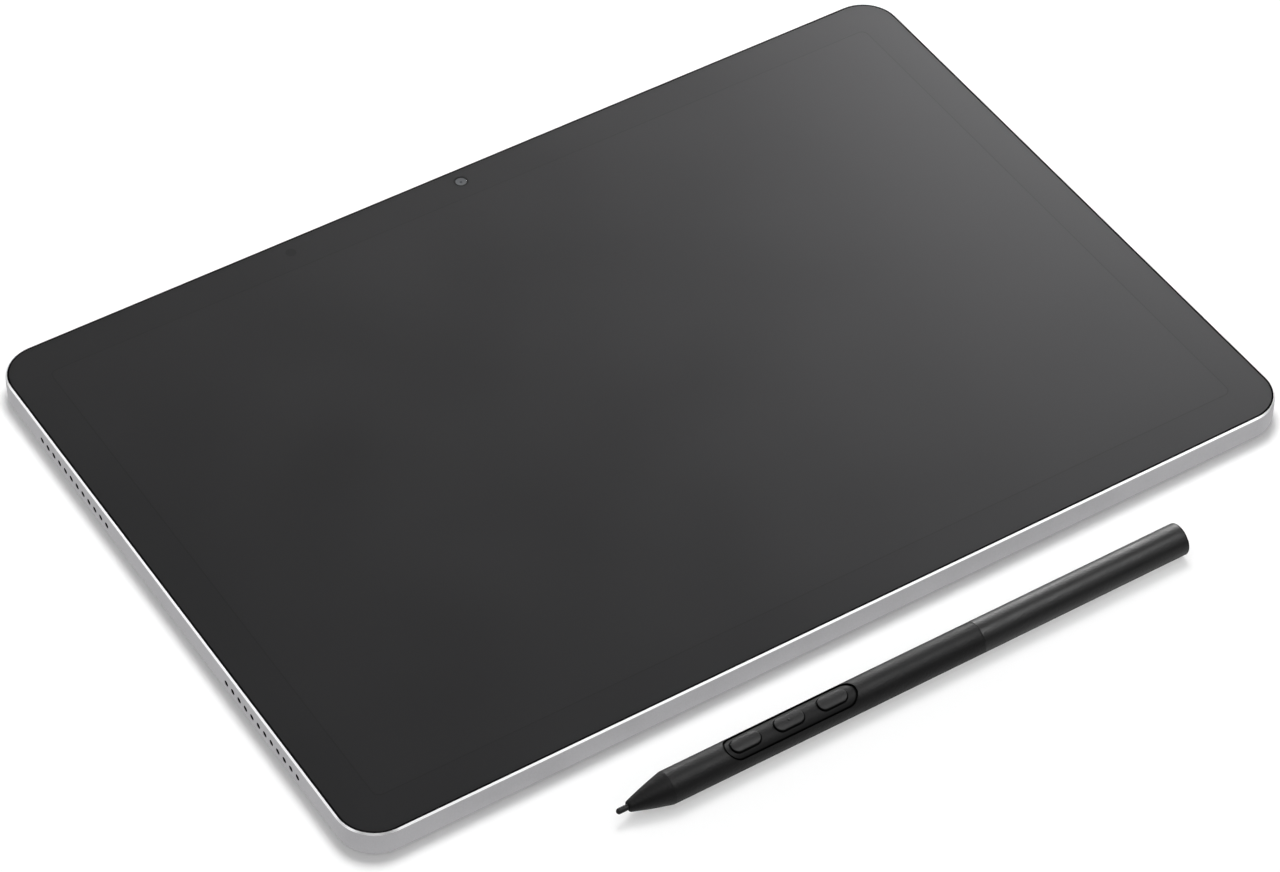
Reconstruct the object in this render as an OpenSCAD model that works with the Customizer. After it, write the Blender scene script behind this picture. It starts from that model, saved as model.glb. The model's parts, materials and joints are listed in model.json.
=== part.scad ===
/* [Set on the desk] */
// Gap on the desk between the tablet's front edge and the pen
pen_gap = 15.5; // [5:0.1:60]
// Middle of the pen's length, to the right of the tablet's middle
pen_x = 3.3; // [-40:0.1:40]
// Roll of the pen that turns its keys towards the front
pen_roll = 9; // [-40:0.5:40]

/* [Tablet body] */
// Width of the tablet along its long edges
tablet_w = 266; // [256:1:300]
// Depth of the tablet along its short edges
tablet_d = 182; // [176:1:210]
// Thickness of the tablet from its back to the face of its glass
tablet_h = 7; // [6.6:0.1:9]
// Radius of the tablet's corners in plan
corner_r = 10.3; // [8:0.1:14]
// Width and height of the bright chamfer round the rim
rim_chamfer = 0.4; // [0.3:0.05:0.7]
// Width of the flat rim between the chamfer and the glass opening
rim_land = 0.05; // [0.05:0.05:0.3]
// Radius of the lower edge round the back
back_edge_r = 0.5; // [0.4:0.1:1.2]
// Thickness of the housing's back wall
back_wall = 1; // [0.9:0.1:1.4]
// Thickness of the housing's side walls
side_wall = 2.6; // [2.3:0.1:3]

/* [Screen] */
// Black border between the tablet's edge and the picture
bezel_w = 11.35; // [11:0.05:14]
// Thickness of the cover glass
glass_t = 0.7; // [0.5:0.05:1]
// Small bevel round the face of the cover glass
glass_bevel = 0.15; // [0.05:0.05:0.3]
// Width of the black bumper between the glass and the rim
bumper_w = 0.25; // [0.15:0.05:0.4]
// Depth of the bumper below the face of the glass
bumper_drop = 0.12; // [0.02:0.02:0.3]
// Thickness of the adhesive frame under the glass
adhesive_t = 0.15; // [0.1:0.05:0.3]
// Free ledge left on each side of the adhesive frame
adhesive_margin = 0.2; // [0.1:0.05:0.4]
// Dark margin of the display panel round the picture
panel_border = 3; // [2:0.1:3.5]
// Thickness of the display panel
panel_t = 0.9; // [0.7:0.05:1.1]
// Thickness of the backlight
backlight_t = 0.8; // [0.6:0.05:1]
// Step from the display panel's edge to the backlight's edge
backlight_step = 1.2; // [1:0.1:2]
// Thickness of the pen sensor board
sensor_t = 0.4; // [0.3:0.05:0.6]
// Thickness of the steel shield behind the pen sensor
shield_t = 0.2; // [0.15:0.05:0.4]
// Step from the pen sensor's edge to the shield's edge
shield_step = 1.2; // [1:0.1:2]
// Corner radius of the layers behind the glass
layer_r = 2; // [0.5:0.5:4]

/* [Feet] */
// Height that the feet stand out below the back
foot_proud = 0.4; // [0.3:0.05:0.8]
// Depth of the grooves that hold the feet
foot_seat = 0.4; // [0.2:0.05:0.6]
// Length of each foot strip
foot_l = 200; // [120:1:215]
// Width of each foot strip
foot_w = 7; // [4:0.5:12]
// Distance from the tablet's long edge to the middle of a foot strip
foot_inset = 15; // [10:0.5:30]
// Clearance round a foot strip in its groove
foot_gap = 0.1; // [0.05:0.05:0.3]

/* [Speakers] */
// Sound holes in each group
sound_holes = 12; // [6:1:14]
// Spacing of the sound holes
sound_pitch = 3.05; // [2.4:0.05:3.3]
// Diameter of a sound hole
sound_d = 1.6; // [0.8:0.1:1.8]
// Height of the sound holes above the back
sound_z = 2.95; // [2.4:0.05:3.4]
// Distance of each group's middle from the tablet's middle line
sound_y = 46.5; // [42:0.5:50]
// Shift of both groups from that middle line towards the rear edge
sound_shift = 0.7; // [-2:0.05:2]
// Length of a speaker box
speaker_l = 40; // [38:1:48]
// Width of a speaker box
speaker_w = 13; // [10:0.5:16]
// Thickness of the dust mesh behind the sound holes
mesh_t = 0.2; // [0.1:0.05:0.3]
// Height of the dust mesh
mesh_h = 2.4; // [2:0.1:2.8]
// Diameter of a speaker's driver
driver_d = 10; // [6:0.5:12]
// Height of a driver's rim above its box
driver_h = 0.15; // [0.05:0.05:0.2]
// Radial width of a driver's rim
driver_rim_w = 1; // [0.5:0.1:2]

/* [Cameras and sensors] */
// Distance from the rear edge to the middle of the front camera
camera_inset = 4.9; // [4.7:0.1:5.6]
// Width of the front camera module
camera_w = 6.4; // [5:0.1:8]
// Depth of the front camera module
camera_d = 3.8; // [3.4:0.1:4.2]
// Height of the front camera module
camera_h = 3.2; // [2.6:0.1:3.6]
// Radius of the front camera's lens opening
camera_cone_r = 1.2; // [0.8:0.1:1.4]
// Depth of the front camera's lens opening
camera_cone_h = 0.5; // [0.3:0.1:1]
// Radius of the front camera's lens
lens_r = 0.45; // [0.3:0.05:0.7]
// Thickness of the front camera's lens
lens_t = 0.3; // [0.2:0.05:0.5]
// Outer radius of the foam ring between camera and glass
foam_r = 1.85; // [1.6:0.05:1.9]
// Radial width of the foam ring
foam_w = 0.35; // [0.2:0.05:0.4]
// Thickness of the foam ring
foam_t = 0.25; // [0.15:0.05:0.4]
// Middle of the light sensor, to the left of the tablet's middle
light_sensor_x = 50.4; // [44:0.1:58]
// Width, depth and height of the light sensor's chip
light_chip = [2, 1.6, 0.6]; // [0.4:0.1:2.4]
// Width, depth and height of the light sensor's board
light_board = [6, 3, 0.3]; // [0.2:0.1:7]
// Distance from the left and rear edges to the middle of the rear camera
rear_camera_inset = 15; // [13:0.5:17]
// Height that the rear camera's ring stands out of the back
rear_ring_proud = 0.25; // [0.1:0.05:0.3]
// Outer radius of the rear camera's ring
rear_ring_r = 4; // [3.6:0.1:5]
// Radial width of the rear camera's ring
rear_ring_w = 0.9; // [0.6:0.1:1.2]
// Inner lip that the rear camera's window rests on
rear_ring_lip = 0.5; // [0.3:0.1:0.8]
// Width and thickness of the flange that holds the ring inside
rear_flange = [0.8, 0.3]; // [0.2:0.1:1]
// Thickness of the rear camera's window
rear_window_t = 0.5; // [0.3:0.05:0.7]
// Recess of the rear window below its ring
rear_window_drop = 0.1; // [0.05:0.05:0.2]
// Side of the rear camera module
rear_camera_side = 9; // [8:0.5:11]
// Radius and depth of the cup in the rear camera's lens barrel
rear_cup = [1.8, 0.5]; // [0.3:0.1:2]
// Clearance round the rear camera's ring and lens barrel
rear_camera_gap = 0.05; // [0.02:0.01:0.1]
// Distance of each microphone from the tablet's middle
mic_x = 30; // [20:1:42]
// Width, depth and height of a microphone
mic_size = [3.5, 1.1, 2.6]; // [0.8:0.1:4]
// Diameter of a microphone hole
mic_d = 0.8; // [0.5:0.1:1]

/* [Side keys] */
// Distance from the left edge to the middle of the power key
power_inset = 29; // [27:0.5:32]
// Distance from the left edge to the middle of the volume key
volume_inset = 55; // [53:0.5:62]
// Length of the power key
power_l = 10; // [8:0.5:12]
// Length of the volume key
volume_l = 20; // [16:0.5:24]
// Height of the side keys
key_h = 2.4; // [1.8:0.1:2.8]
// Height of the side keys' middle above the back
key_z = 3.4; // [3.2:0.1:3.6]
// Height that the side keys stand out of the wall
key_proud = 0.4; // [0.3:0.05:0.6]
// Clearance round a side key in its slot
key_gap = 0.15; // [0.1:0.01:0.25]
// Travel of the power key
key_travel = 0.3; // [0.2:0.05:0.4]
// Tilt of the volume key to either side, in degrees
rocker_tilt = 1.2; // [0.6:0.1:1.5]
// Free play between a side key at rest and what stops or switches it
key_play = 0.05; // [0.03:0.01:0.1]
// Width of the inner flange round a side key
key_lip = 0.8; // [0.4:0.1:1]
// Thickness of a side key's flange
key_lip_t = 0.5; // [0.3:0.05:0.7]
// Length of the nub that presses a switch
nub_l = 0.4; // [0.2:0.05:0.6]
// Radius of the nub that presses a switch
nub_r = 0.8; // [0.5:0.1:1]
// Distance of the volume key's nubs from its pivot
nub_x = 7; // [5:0.1:8]
// Radius of the volume key's pivot rib
pivot_r = 0.35; // [0.3:0.05:0.5]
// Depth of the power key's switch
switch_t = 0.7; // [0.6:0.05:0.9]
// Width and height of a side key's switch
switch_side = 2.6; // [1.8:0.1:3]
// Thickness of the side key board
key_board_t = 0.5; // [0.3:0.05:0.8]

/* [Boards and socket] */
// Height of the bosses that the boards are screwed to
boss_h = 0.4; // [0.3:0.05:0.6]
// Radius of the bosses
boss_r = 1.8; // [1.5:0.1:2.2]
// Thickness of the boards
board_t = 0.8; // [0.6:0.05:1]
// Radius of a board screw's shank
screw_r = 0.6; // [0.5:0.05:0.7]
// Radius of a board screw's head
screw_head_r = 1.2; // [1:0.1:1.5]
// Height of a board screw's head
screw_head_h = 0.4; // [0.3:0.05:0.6]
// Depth that a board screw reaches into the housing
screw_grip = 0.6; // [0.4:0.05:0.6]
// Clearance round a board screw
screw_gap = 0.1; // [0.05:0.01:0.15]
// Distance of the screws from the edges of a board
screw_inset = 3; // [2.5:0.1:4]
// Width of the main board
main_board_w = 132; // [110:1:150]
// Depth of the main board
main_board_d = 34; // [28:1:38]
// Middle of the main board, to the right of the tablet's middle
main_board_x = 4; // [-10:1:10]
// Distance from the inner rear wall to the main board
main_board_inset = 8.4; // [8:0.1:10]
// Width and depth of the shield can over the processor
can_size = [30, 20]; // [16:1:36]
// Distance from the main board's left edge to the middle of the processor's can
can_inset = 40; // [30:1:50]
// Width and depth of the shield can over the radio
radio_can_size = [18, 14]; // [10:1:24]
// Distance from the main board's right edge to the middle of the radio's can
radio_can_inset = 33; // [26:1:45]
// Wall of the shield cans
can_wall = 0.2; // [0.15:0.05:0.3]
// Free room between a chip and its shield can
chip_gap = 0.4; // [0.3:0.1:0.6]
// Width of the socket board
usb_board_w = 22; // [18:1:26]
// Depth of the socket board
usb_board_d = 34; // [28:1:40]
// Gap from the inner right wall to the socket board
usb_board_gap = 0.5; // [0.3:0.1:1]
// Outer width of the socket's shell
usb_w = 8.94; // [8.8:0.02:9.2]
// Outer height of the socket's shell
usb_h = 3.16; // [3.1:0.02:3.3]
// Wall of the socket's shell
usb_shell = 0.3; // [0.25:0.01:0.35]
// Length of the socket's shell
usb_l = 7; // [6.5:0.1:7.1]
// Depth of the socket's mouth below the right wall
usb_recess = 0.2; // [0.1:0.05:0.5]
// Clearance round the socket in its slot
usb_gap = 0.15; // [0.1:0.05:0.3]
// Thickness of the block that closes the socket's inner end
usb_back = 0.8; // [0.6:0.1:1.2]
// Width, length and thickness of the contact tongue
usb_tongue_size = [6.69, 4.45, 0.7]; // [0.6:0.01:6.8]
// Length of the plastic window for the aerial
aerial_l = 36; // [24:1:44]
// Height of the plastic window for the aerial
aerial_h = 3.2; // [2.4:0.1:3.6]
// Distance from the right edge to the middle of the aerial window
aerial_inset = 55; // [45:1:65]
// Thickness of the aerial
aerial_t = 0.3; // [0.2:0.05:0.5]
// Margin of the window round the aerial
aerial_margin = 0.4; // [0.2:0.1:0.8]

/* [Battery and cables] */
// Width of a battery cell
cell_w = 90; // [80:1:96]
// Depth of a battery cell
cell_d = 105; // [90:1:112]
// Gap between the two battery cells
cell_gap = 6; // [2:1:12]
// Corner radius of a battery cell
cell_r = 2; // [1:0.5:4]
// Gap from the inner front wall to the battery cells
cell_inset = 9; // [6:0.5:12]
// Free height between what lies on the back wall and the shield
room_gap = 0.3; // [0.25:0.05:0.5]
// Width of the battery's protection board
cell_board_w = 70; // [50:1:90]
// Depth of the battery's protection board
cell_board_d = 6; // [4:0.5:8]
// Thickness of the flat cables
flex_t = 0.15; // [0.1:0.01:0.2]
// Length of a flat cable's end that lies on a board
flex_landing = 4; // [3:0.5:6]
// Width of the display cable
display_flex_w = 30; // [20:1:34]
// Middle of the display cable, to the right of the tablet's middle
display_flex_x = 27; // [22:1:34]
// Width of the pen sensor cable
sensor_flex_w = 24; // [16:1:30]
// Middle of the pen sensor cable, to the left of the tablet's middle
sensor_flex_x = 30; // [24:1:36]
// Width of the battery cable
cell_flex_w = 18; // [10:1:24]

/* [Pen body] */
// Length of the pen from its nib to its tail
pen_l = 160.5; // [150:0.5:175]
// Diameter of the pen's barrel
pen_d = 8.3; // [8.1:0.1:9.5]
// Wall of the pen's barrel
pen_wall = 1.04; // [0.95:0.01:1.1]
// Length of nib that stands out of the nose
nib_out = 3.1; // [2:0.1:4]
// Radius of the nib
nib_r = 0.74; // [0.6:0.02:0.9]
// Length of the nose cone
cone_l = 10.5; // [8:0.1:13]
// Radius of the nose cone's small end
nose_r = 1.3; // [1.15:0.05:1.6]
// Outward bulge of the nose cone's side
cone_bulge = 0.12; // [0:0.02:0.3]
// Length of the nose cone's spigot inside the barrel
spigot_l = 6; // [4:0.5:8]
// Length of the front barrel
front_barrel_l = 86.6; // [80:0.1:95]
// Edge break on both barrels where they meet
seam_break = 0.3; // [0.1:0.05:0.5]
// Rounding of the pen's tail edge
tail_r = 0.5; // [0.2:0.1:1]
// Thickness of the closed tail
tail_wall = 1.2; // [0.8:0.1:2]
// Clearance between what fits inside the pen and its bore
pen_fit = 0.05; // [0.02:0.01:0.1]

/* [Pen keys] */
// Distance from the pressure sensor's rear face to the middle of the key plate
plate_inset = 17.7; // [17.4:0.1:20]
// Length of the key plate
plate_l = 35.5; // [35:0.1:38]
// Width of the key plate
plate_w = 5.8; // [5.6:0.1:6.2]
// Thickness of the key plate
plate_t = 0.3; // [0.24:0.02:0.4]
// Depth of the key plate's face below the barrel's surface
plate_drop = 0.35; // [0.2:0.01:0.4]
// Clearance round the key plate
plate_gap = 0.3; // [0.1:0.01:0.35]
// Thickness of the glue film under the key plate
plate_glue = 0.05; // [0.02:0.01:0.1]
// Width of the ledge under the key plate
plate_seat = 0.5; // [0.4:0.02:0.55]
// Spacing of the pen keys
pen_key_pitch = 12; // [11.6:0.1:12.2]
// Distance from the middle of the key plate back to the middle key
pen_key_shift = -0.5; // [-0.6:0.05:0.6]
// Length of a pen key
pen_key_l = 7.8; // [7:0.1:8.2]
// Width of a pen key
pen_key_w = 3.4; // [3:0.1:3.5]
// Height that a pen key stands out of its plate
pen_key_proud = 0.5; // [0.4:0.05:0.6]
// Clearance round a pen key in its plate
pen_key_gap = 0.18; // [0.1:0.01:0.2]
// Travel of a pen key
pen_key_travel = 0.3; // [0.2:0.05:0.35]
// Free play between a pen key at rest and what stops or switches it
pen_key_play = 0.08; // [0.05:0.01:0.1]
// Width of the inner lip round a pen key
pen_key_lip = 0.5; // [0.3:0.05:0.55]
// Thickness of a pen key's inner lip
pen_key_lip_t = 0.5; // [0.3:0.05:0.6]
// Radius of the plunger under a pen key
plunger_r = 0.8; // [0.5:0.1:1]
// Length of the plunger under a pen key
plunger_l = 0.9; // [0.6:0.05:1.2]
// Radius and height of the bump that marks the middle key
key_mark = [0.4, 0.16]; // [0.08:0.02:0.5]

/* [Pen inside] */
// Travel of the nib
nib_travel = 0.4; // [0.2:0.05:0.6]
// Clearance round the nib
nib_gap = 0.2; // [0.15:0.05:0.25]
// Depth of the nib's end in its holder
nib_grip = 2; // [1:0.1:3]
// Radius of the nib holder
holder_r = 1.9; // [1.6:0.1:2.2]
// Length of the nib holder
holder_l = 4; // [3.5:0.1:5]
// Play between the nib holder and what stops it
holder_play = 0.1; // [0.05:0.05:0.2]
// Radius of the ferrite core
core_r = 2; // [1.7:0.05:2.1]
// Length of the ferrite core
core_l = 10; // [9:0.5:10]
// Depth of the ferrite core's seat behind the nose's small end
core_seat = 8.9; // [8.8:0.1:9]
// Radial thickness of the coil round the core
coil_t = 0.5; // [0.3:0.05:0.55]
// Length of the coil round the core
coil_l = 6.5; // [5:0.5:7]
// Clearance between the coil and the nose cone
coil_gap = 0.15; // [0.1:0.05:0.2]
// Length of the pressure sensor
pressure_l = 2.9; // [2.5:0.1:3]
// Drop of the chassis's flat below the pen's axis
chassis_drop = 0.4; // [0.3:0.05:0.6]
// Width of the pen's board
pen_board_w = 5; // [4:0.1:5.2]
// Bare chassis left behind the pen's board
pen_board_margin = 4.5; // [2:0.5:8]
// Thickness of the pen's board
pen_board_t = 0.8; // [0.6:0.05:1]
// Length and width of a switch on the pen's board
pen_switch_size = [3, 2.6]; // [2:0.1:4]
// Length of the joint sleeve inside each barrel
sleeve_l = 6.9; // [5:0.1:8]
// Wall of the joint sleeve
sleeve_wall = 0.7; // [0.5:0.05:1]
// Length of the balance weight in the tail
weight_l = 40; // [30:1:48]

/* [Hidden] */
$fn = 72;

// Places on the desk: the footprint of tablet and pen is centred on the origin
pen_r = pen_d / 2;
set_d = tablet_d + key_proud + pen_gap + pen_d;
tablet_y = set_d / 2 - key_proud - tablet_d / 2;
pen_y = pen_r - set_d / 2;
past = 1; // How far a cut runs past the face that it opens
cone_steps = 6; // Straight stretches along the nose cone's side

// Heights in the tablet, up from the face of its back
glass_z = tablet_h - glass_t;
ledge_z = glass_z - adhesive_t;
panel_z = glass_z - panel_t;
backlight_z = panel_z - backlight_t;
sensor_z = backlight_z - sensor_t;
shield_z = sensor_z - shield_t;
room_h = shield_z - back_wall - room_gap;
board_z = back_wall + boss_h;
board_top = board_z + board_t;
can_h = back_wall + room_h - board_top;
usb_z = board_top + usb_h / 2;

// Outlines in the tablet
rim_w = rim_chamfer + rim_land;
glass_inset = rim_w + bumper_w;
panel_w = tablet_w - 2 * (bezel_w - panel_border);
panel_d = tablet_d - 2 * (bezel_w - panel_border);
backlight_w = panel_w - 2 * backlight_step;
backlight_d = panel_d - 2 * backlight_step;
right_in = tablet_w / 2 - side_wall;
rear_in = tablet_d / 2 - side_wall;

// Places of the boards and of their screws
main_board_y = rear_in - main_board_inset - main_board_d / 2;
usb_board_x = right_in - usb_board_gap - usb_board_w / 2;
usb_screw_x = usb_board_x - usb_board_w / 2 + screw_inset;
main_screws = [
  for (x = [-1, 1], y = [-1, 1])
    [main_board_x + x * (main_board_w / 2 - screw_inset), main_board_y + y * (main_board_d / 2 - screw_inset)]
];
usb_screws = [for (y = [-1, 1]) [usb_screw_x, y * (usb_board_d / 2 - screw_inset)]];
screws = concat(main_screws, usb_screws);
can_x = main_board_x - main_board_w / 2 + can_inset;
radio_can_x = main_board_x + main_board_w / 2 - radio_can_inset;
cell_y = cell_inset + cell_d / 2 - rear_in;
cell_board_y = cell_y + cell_d / 2 + cell_board_d / 2;

// Places of the cameras and of the openings in the rear wall
camera_y = tablet_d / 2 - camera_inset;
camera_top = glass_z - foam_t;
camera_z = camera_top - camera_h;
rear_camera_x = rear_camera_inset - tablet_w / 2;
rear_camera_y = tablet_d / 2 - rear_camera_inset;
rear_bore_r = rear_ring_r - rear_ring_w;
rear_window_z = rear_window_drop - rear_ring_proud;
rear_barrel_r = rear_bore_r - rear_ring_lip - rear_camera_gap;
power_x = power_inset - tablet_w / 2;
volume_x = volume_inset - tablet_w / 2;
aerial_x = tablet_w / 2 - aerial_inset;

// Depths of the side keys, from the inner face of the rear wall
power_lip_y = rear_in - key_play;
power_switch_y = power_lip_y - key_lip_t - nub_l - key_travel - key_play;
pivot_y = rear_in - key_play - pivot_r;
rocker_press = (nub_x + nub_r) * sin(rocker_tilt);
volume_switch_y = pivot_y - key_lip_t - nub_l - rocker_press - key_play;
key_board_y = power_switch_y - switch_t;

// Places along the pen, from the nib's tip
nose_x = nib_out;
barrel_x = nose_x + cone_l;
seam_x = barrel_x + front_barrel_l;
bore_r = pen_r - pen_wall;
inner_r = bore_r - pen_fit;
core_x = nose_x + core_seat;
holder_x = core_x + core_l + holder_play;
pressure_x = holder_x + holder_l + nib_travel + holder_play;
chassis_x = pressure_x + pressure_l;
chassis_l = seam_x - sleeve_l - chassis_x;
chassis_z = -chassis_drop;
pen_board_l = chassis_l - pen_board_margin;
plate_mid = chassis_x + plate_inset;
keys_mid = plate_mid + pen_key_shift;
pen_board_z = chassis_z + pen_board_t;

// Radii of the pen's keys, from its axis
plate_face_r = pen_r - plate_drop;
plate_r = plate_face_r - plate_t;
lip_top_r = plate_r - pen_key_play;
lip_r = lip_top_r - pen_key_lip_t;
plunger_z = lip_r - plunger_l;
pen_switch_top = plunger_z - pen_key_travel - pen_key_play;

// Sets its children in the tablet's own frame: middle of the plan, face of the back
module in_tablet() {
  translate([0, tablet_y, foot_proud]) children();
}

// Sets its children in the pen's own frame: tip of the nib, axis along X, keys up
module in_pen() {
  translate([pen_x - pen_l / 2, pen_y, pen_r]) rotate([pen_roll, 0, 0]) children();
}

// Turns what stands along Z to lie along the pen, from a place along it
module along_pen(from) {
  translate([from, 0, 0]) rotate([0, 90, 0]) children();
}

// Shape with two round ends
module stadium(length, width) {
  square([length - width, width], center = true);
  for (end = [-1, 1]) translate([end * (length - width) / 2, 0]) circle(d = width);
}

// Rectangle with round corners
module rounded_rect(width, depth, radius) {
  square([width - 2 * radius, depth], center = true);
  square([width, depth - 2 * radius], center = true);
  for (x = [-1, 1], y = [-1, 1]) {
    translate([x * (width / 2 - radius), y * (depth / 2 - radius)]) circle(radius);
  }
}

// Outline of the tablet, drawn in by an inset
module tablet_outline(inset) {
  rounded_rect(tablet_w - 2 * inset, tablet_d - 2 * inset, corner_r - inset);
}

// Block with round corners whose edge follows the child, drawn outwards from the corner's axis
module rounded_block(width, depth, radius, height) {
  core_w = width - 2 * radius;
  core_d = depth - 2 * radius;
  translate([-core_w / 2, -core_d / 2, 0]) cube([core_w, core_d, height]);
  for (turn = [0, 180]) {
    rotate(turn) translate([core_w / 2, core_d / 2, 0]) {
      rotate([90, 0, 0]) linear_extrude(core_d) children();
      rotate_extrude(angle = 90) children();
    }
    rotate(turn + 90) translate([core_d / 2, core_w / 2, 0]) {
      rotate([90, 0, 0]) linear_extrude(core_w) children();
      rotate_extrude(angle = 90) children();
    }
  }
}

// Edge of a block with a chamfer at its top
module chamfered_edge(radius, height, chamfer) {
  difference() {
    square([radius, height]);
    translate([radius, height]) rotate(45) square(chamfer * sqrt(2), center = true);
  }
}

// Edge of the housing: chamfer at the rim, round at the back
module housing_edge() {
  difference() {
    chamfered_edge(corner_r, tablet_h, rim_chamfer);
    translate([corner_r - back_edge_r, 0]) difference() {
      square(back_edge_r);
      translate([0, back_edge_r]) circle(back_edge_r);
    }
  }
}

// Layer centred in the tablet
module layer(width, depth, height, radius) {
  linear_extrude(height) rounded_rect(width, depth, radius);
}

// Block centred in plan, standing up from the given height
module standing_block(size, z) {
  translate([-size.x / 2, -size.y / 2, z]) cube(size);
}

// Carries an outline in X and Z along Y, from one place to another
module along_y(from, to) {
  translate([0, to, 0]) rotate([90, 0, 0]) linear_extrude(to - from) children();
}

// Carries an outline in Y and Z along X, from one place to another
module along_x(from, to) {
  translate([from, 0, 0]) rotate([90, 0, 90]) linear_extrude(to - from) children();
}

// Opening through the rear wall
module rear_opening(x, z) {
  along_y(rear_in - past, tablet_d / 2 + past) translate([x, z]) children();
}

// Outline of a foot strip
module foot_outline(side, gap) {
  translate([0, side * (tablet_d / 2 - foot_inset)]) stadium(foot_l + 2 * gap, foot_w + 2 * gap);
}

// Outline of a side key
module key_outline(length, grow) {
  stadium(length + 2 * grow, key_h + 2 * grow);
}

// Middle of a group of sound holes along the side wall
function sound_mid(group) = group * sound_y + sound_shift;

// Row of sound holes through a side wall
module sound_holes_at(side, group) {
  for (i = [0:sound_holes - 1]) {
    y = sound_mid(group) + (i - (sound_holes - 1) / 2) * sound_pitch;
    translate([side * (right_in + side_wall / 2), y, sound_z]) rotate([0, 90, 0]) {
      cylinder(d = sound_d, h = side_wall + 2 * past, center = true);
    }
  }
}

module housing_openings() {
  for (side = [-1, 1]) {
    translate([0, 0, -past]) linear_extrude(foot_seat + past) foot_outline(side, foot_gap);
    for (group = [-1, 1]) sound_holes_at(side, group);
    rear_opening(side * mic_x, key_z) circle(d = mic_d);
  }
  rear_opening(power_x, key_z) key_outline(power_l, key_gap);
  rear_opening(volume_x, key_z) key_outline(volume_l, key_gap);
  rear_opening(aerial_x, key_z) stadium(aerial_l, aerial_h);
  along_x(right_in - past, tablet_w / 2 + past) {
    translate([0, usb_z]) stadium(usb_w + 2 * usb_gap, usb_h + 2 * usb_gap);
  }
  translate([rear_camera_x, rear_camera_y, -past]) {
    cylinder(r = rear_ring_r + rear_camera_gap, h = back_wall + 2 * past);
  }
  for (place = screws) {
    translate([place.x, place.y, board_z - screw_grip - screw_gap]) {
      cylinder(r = screw_r + screw_gap, h = screw_grip + screw_gap + past);
    }
  }
}

module rear_housing() {
  color("silver") in_tablet() difference() {
    union() {
      difference() {
        rounded_block(tablet_w, tablet_d, corner_r, tablet_h) housing_edge();
        translate([0, 0, back_wall]) linear_extrude(tablet_h) tablet_outline(side_wall);
        translate([0, 0, ledge_z]) linear_extrude(tablet_h) tablet_outline(rim_w);
      }
      for (place = screws) translate([place.x, place.y, back_wall]) cylinder(r = boss_r, h = boss_h);
      translate([-camera_w / 2, camera_y - camera_d / 2, back_wall]) {
        cube([camera_w, camera_d, camera_z - back_wall]);
      }
    }
    housing_openings();
  }
}

module front_glass() {
  radius = corner_r - glass_inset;
  color("black") in_tablet() translate([0, 0, glass_z]) {
    rounded_block(tablet_w - 2 * glass_inset, tablet_d - 2 * glass_inset, radius, glass_t) {
      chamfered_edge(radius, glass_t, glass_bevel);
    }
  }
}

module glass_bumper() {
  color([0.03, 0.03, 0.03]) in_tablet() translate([0, 0, ledge_z]) {
    linear_extrude(tablet_h - bumper_drop - ledge_z) difference() {
      tablet_outline(rim_w);
      tablet_outline(glass_inset);
    }
  }
}

module glass_adhesive() {
  color("dimgray") in_tablet() translate([0, 0, ledge_z]) linear_extrude(adhesive_t) difference() {
    tablet_outline(glass_inset + adhesive_margin);
    tablet_outline(side_wall - adhesive_margin);
  }
}

module display_panel() {
  color([0.06, 0.06, 0.07]) in_tablet() translate([0, 0, panel_z]) {
    layer(panel_w, panel_d, panel_t, layer_r);
  }
}

module backlight_unit() {
  color("white") in_tablet() translate([0, 0, backlight_z]) {
    layer(backlight_w, backlight_d, backlight_t, layer_r);
  }
}

module pen_sensor_board() {
  color("darkgreen") in_tablet() translate([0, 0, sensor_z]) {
    layer(backlight_w, backlight_d, sensor_t, layer_r);
  }
}

module shield_plate() {
  color("lightgray") in_tablet() translate([0, 0, shield_z]) {
    layer(backlight_w - 2 * shield_step, backlight_d - 2 * shield_step, shield_t, layer_r);
  }
}

// Board on its bosses, drilled for its screws
module screwed_board(x, y, width, depth, places) {
  translate([0, 0, board_z]) linear_extrude(board_t) difference() {
    translate([x, y]) square([width, depth], center = true);
    for (place = places) translate(place) circle(screw_r + screw_gap);
  }
}

// Shield can: a folded tray with its open side on the board
module shield_can(x, size) {
  inside = [size.x - 2 * can_wall, size.y - 2 * can_wall, can_h - can_wall + past];
  translate([x, main_board_y, 0]) difference() {
    standing_block([size.x, size.y, can_h], board_top);
    standing_block(inside, board_top - past);
  }
}

// Chip that fills a shield can but for the free room round it
module chip(x, size) {
  room = 2 * (can_wall + chip_gap);
  translate([x, main_board_y, 0]) {
    standing_block([size.x - room, size.y - room, can_h - can_wall - chip_gap], board_top);
  }
}

module main_board() {
  color("darkgreen") in_tablet() {
    screwed_board(main_board_x, main_board_y, main_board_w, main_board_d, main_screws);
    chip(can_x, can_size);
    chip(radio_can_x, radio_can_size);
  }
}

module processor_can() {
  color("gainsboro") in_tablet() shield_can(can_x, can_size);
}

module radio_can() {
  color("gainsboro") in_tablet() shield_can(radio_can_x, radio_can_size);
}

module board_screws() {
  color("dimgray") in_tablet() for (place = screws) {
    translate([place.x, place.y, board_z - screw_grip]) cylinder(r = screw_r, h = screw_grip + board_t);
    translate([place.x, place.y, board_top]) cylinder(r = screw_head_r, h = screw_head_h);
  }
}

module battery_cell(side) {
  color([0.15, 0.15, 0.16]) in_tablet() {
    translate([side * (cell_w + cell_gap) / 2, cell_y, back_wall]) layer(cell_w, cell_d, room_h, cell_r);
  }
}

module battery_left() {
  battery_cell(-1);
}

module battery_right() {
  battery_cell(1);
}

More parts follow.
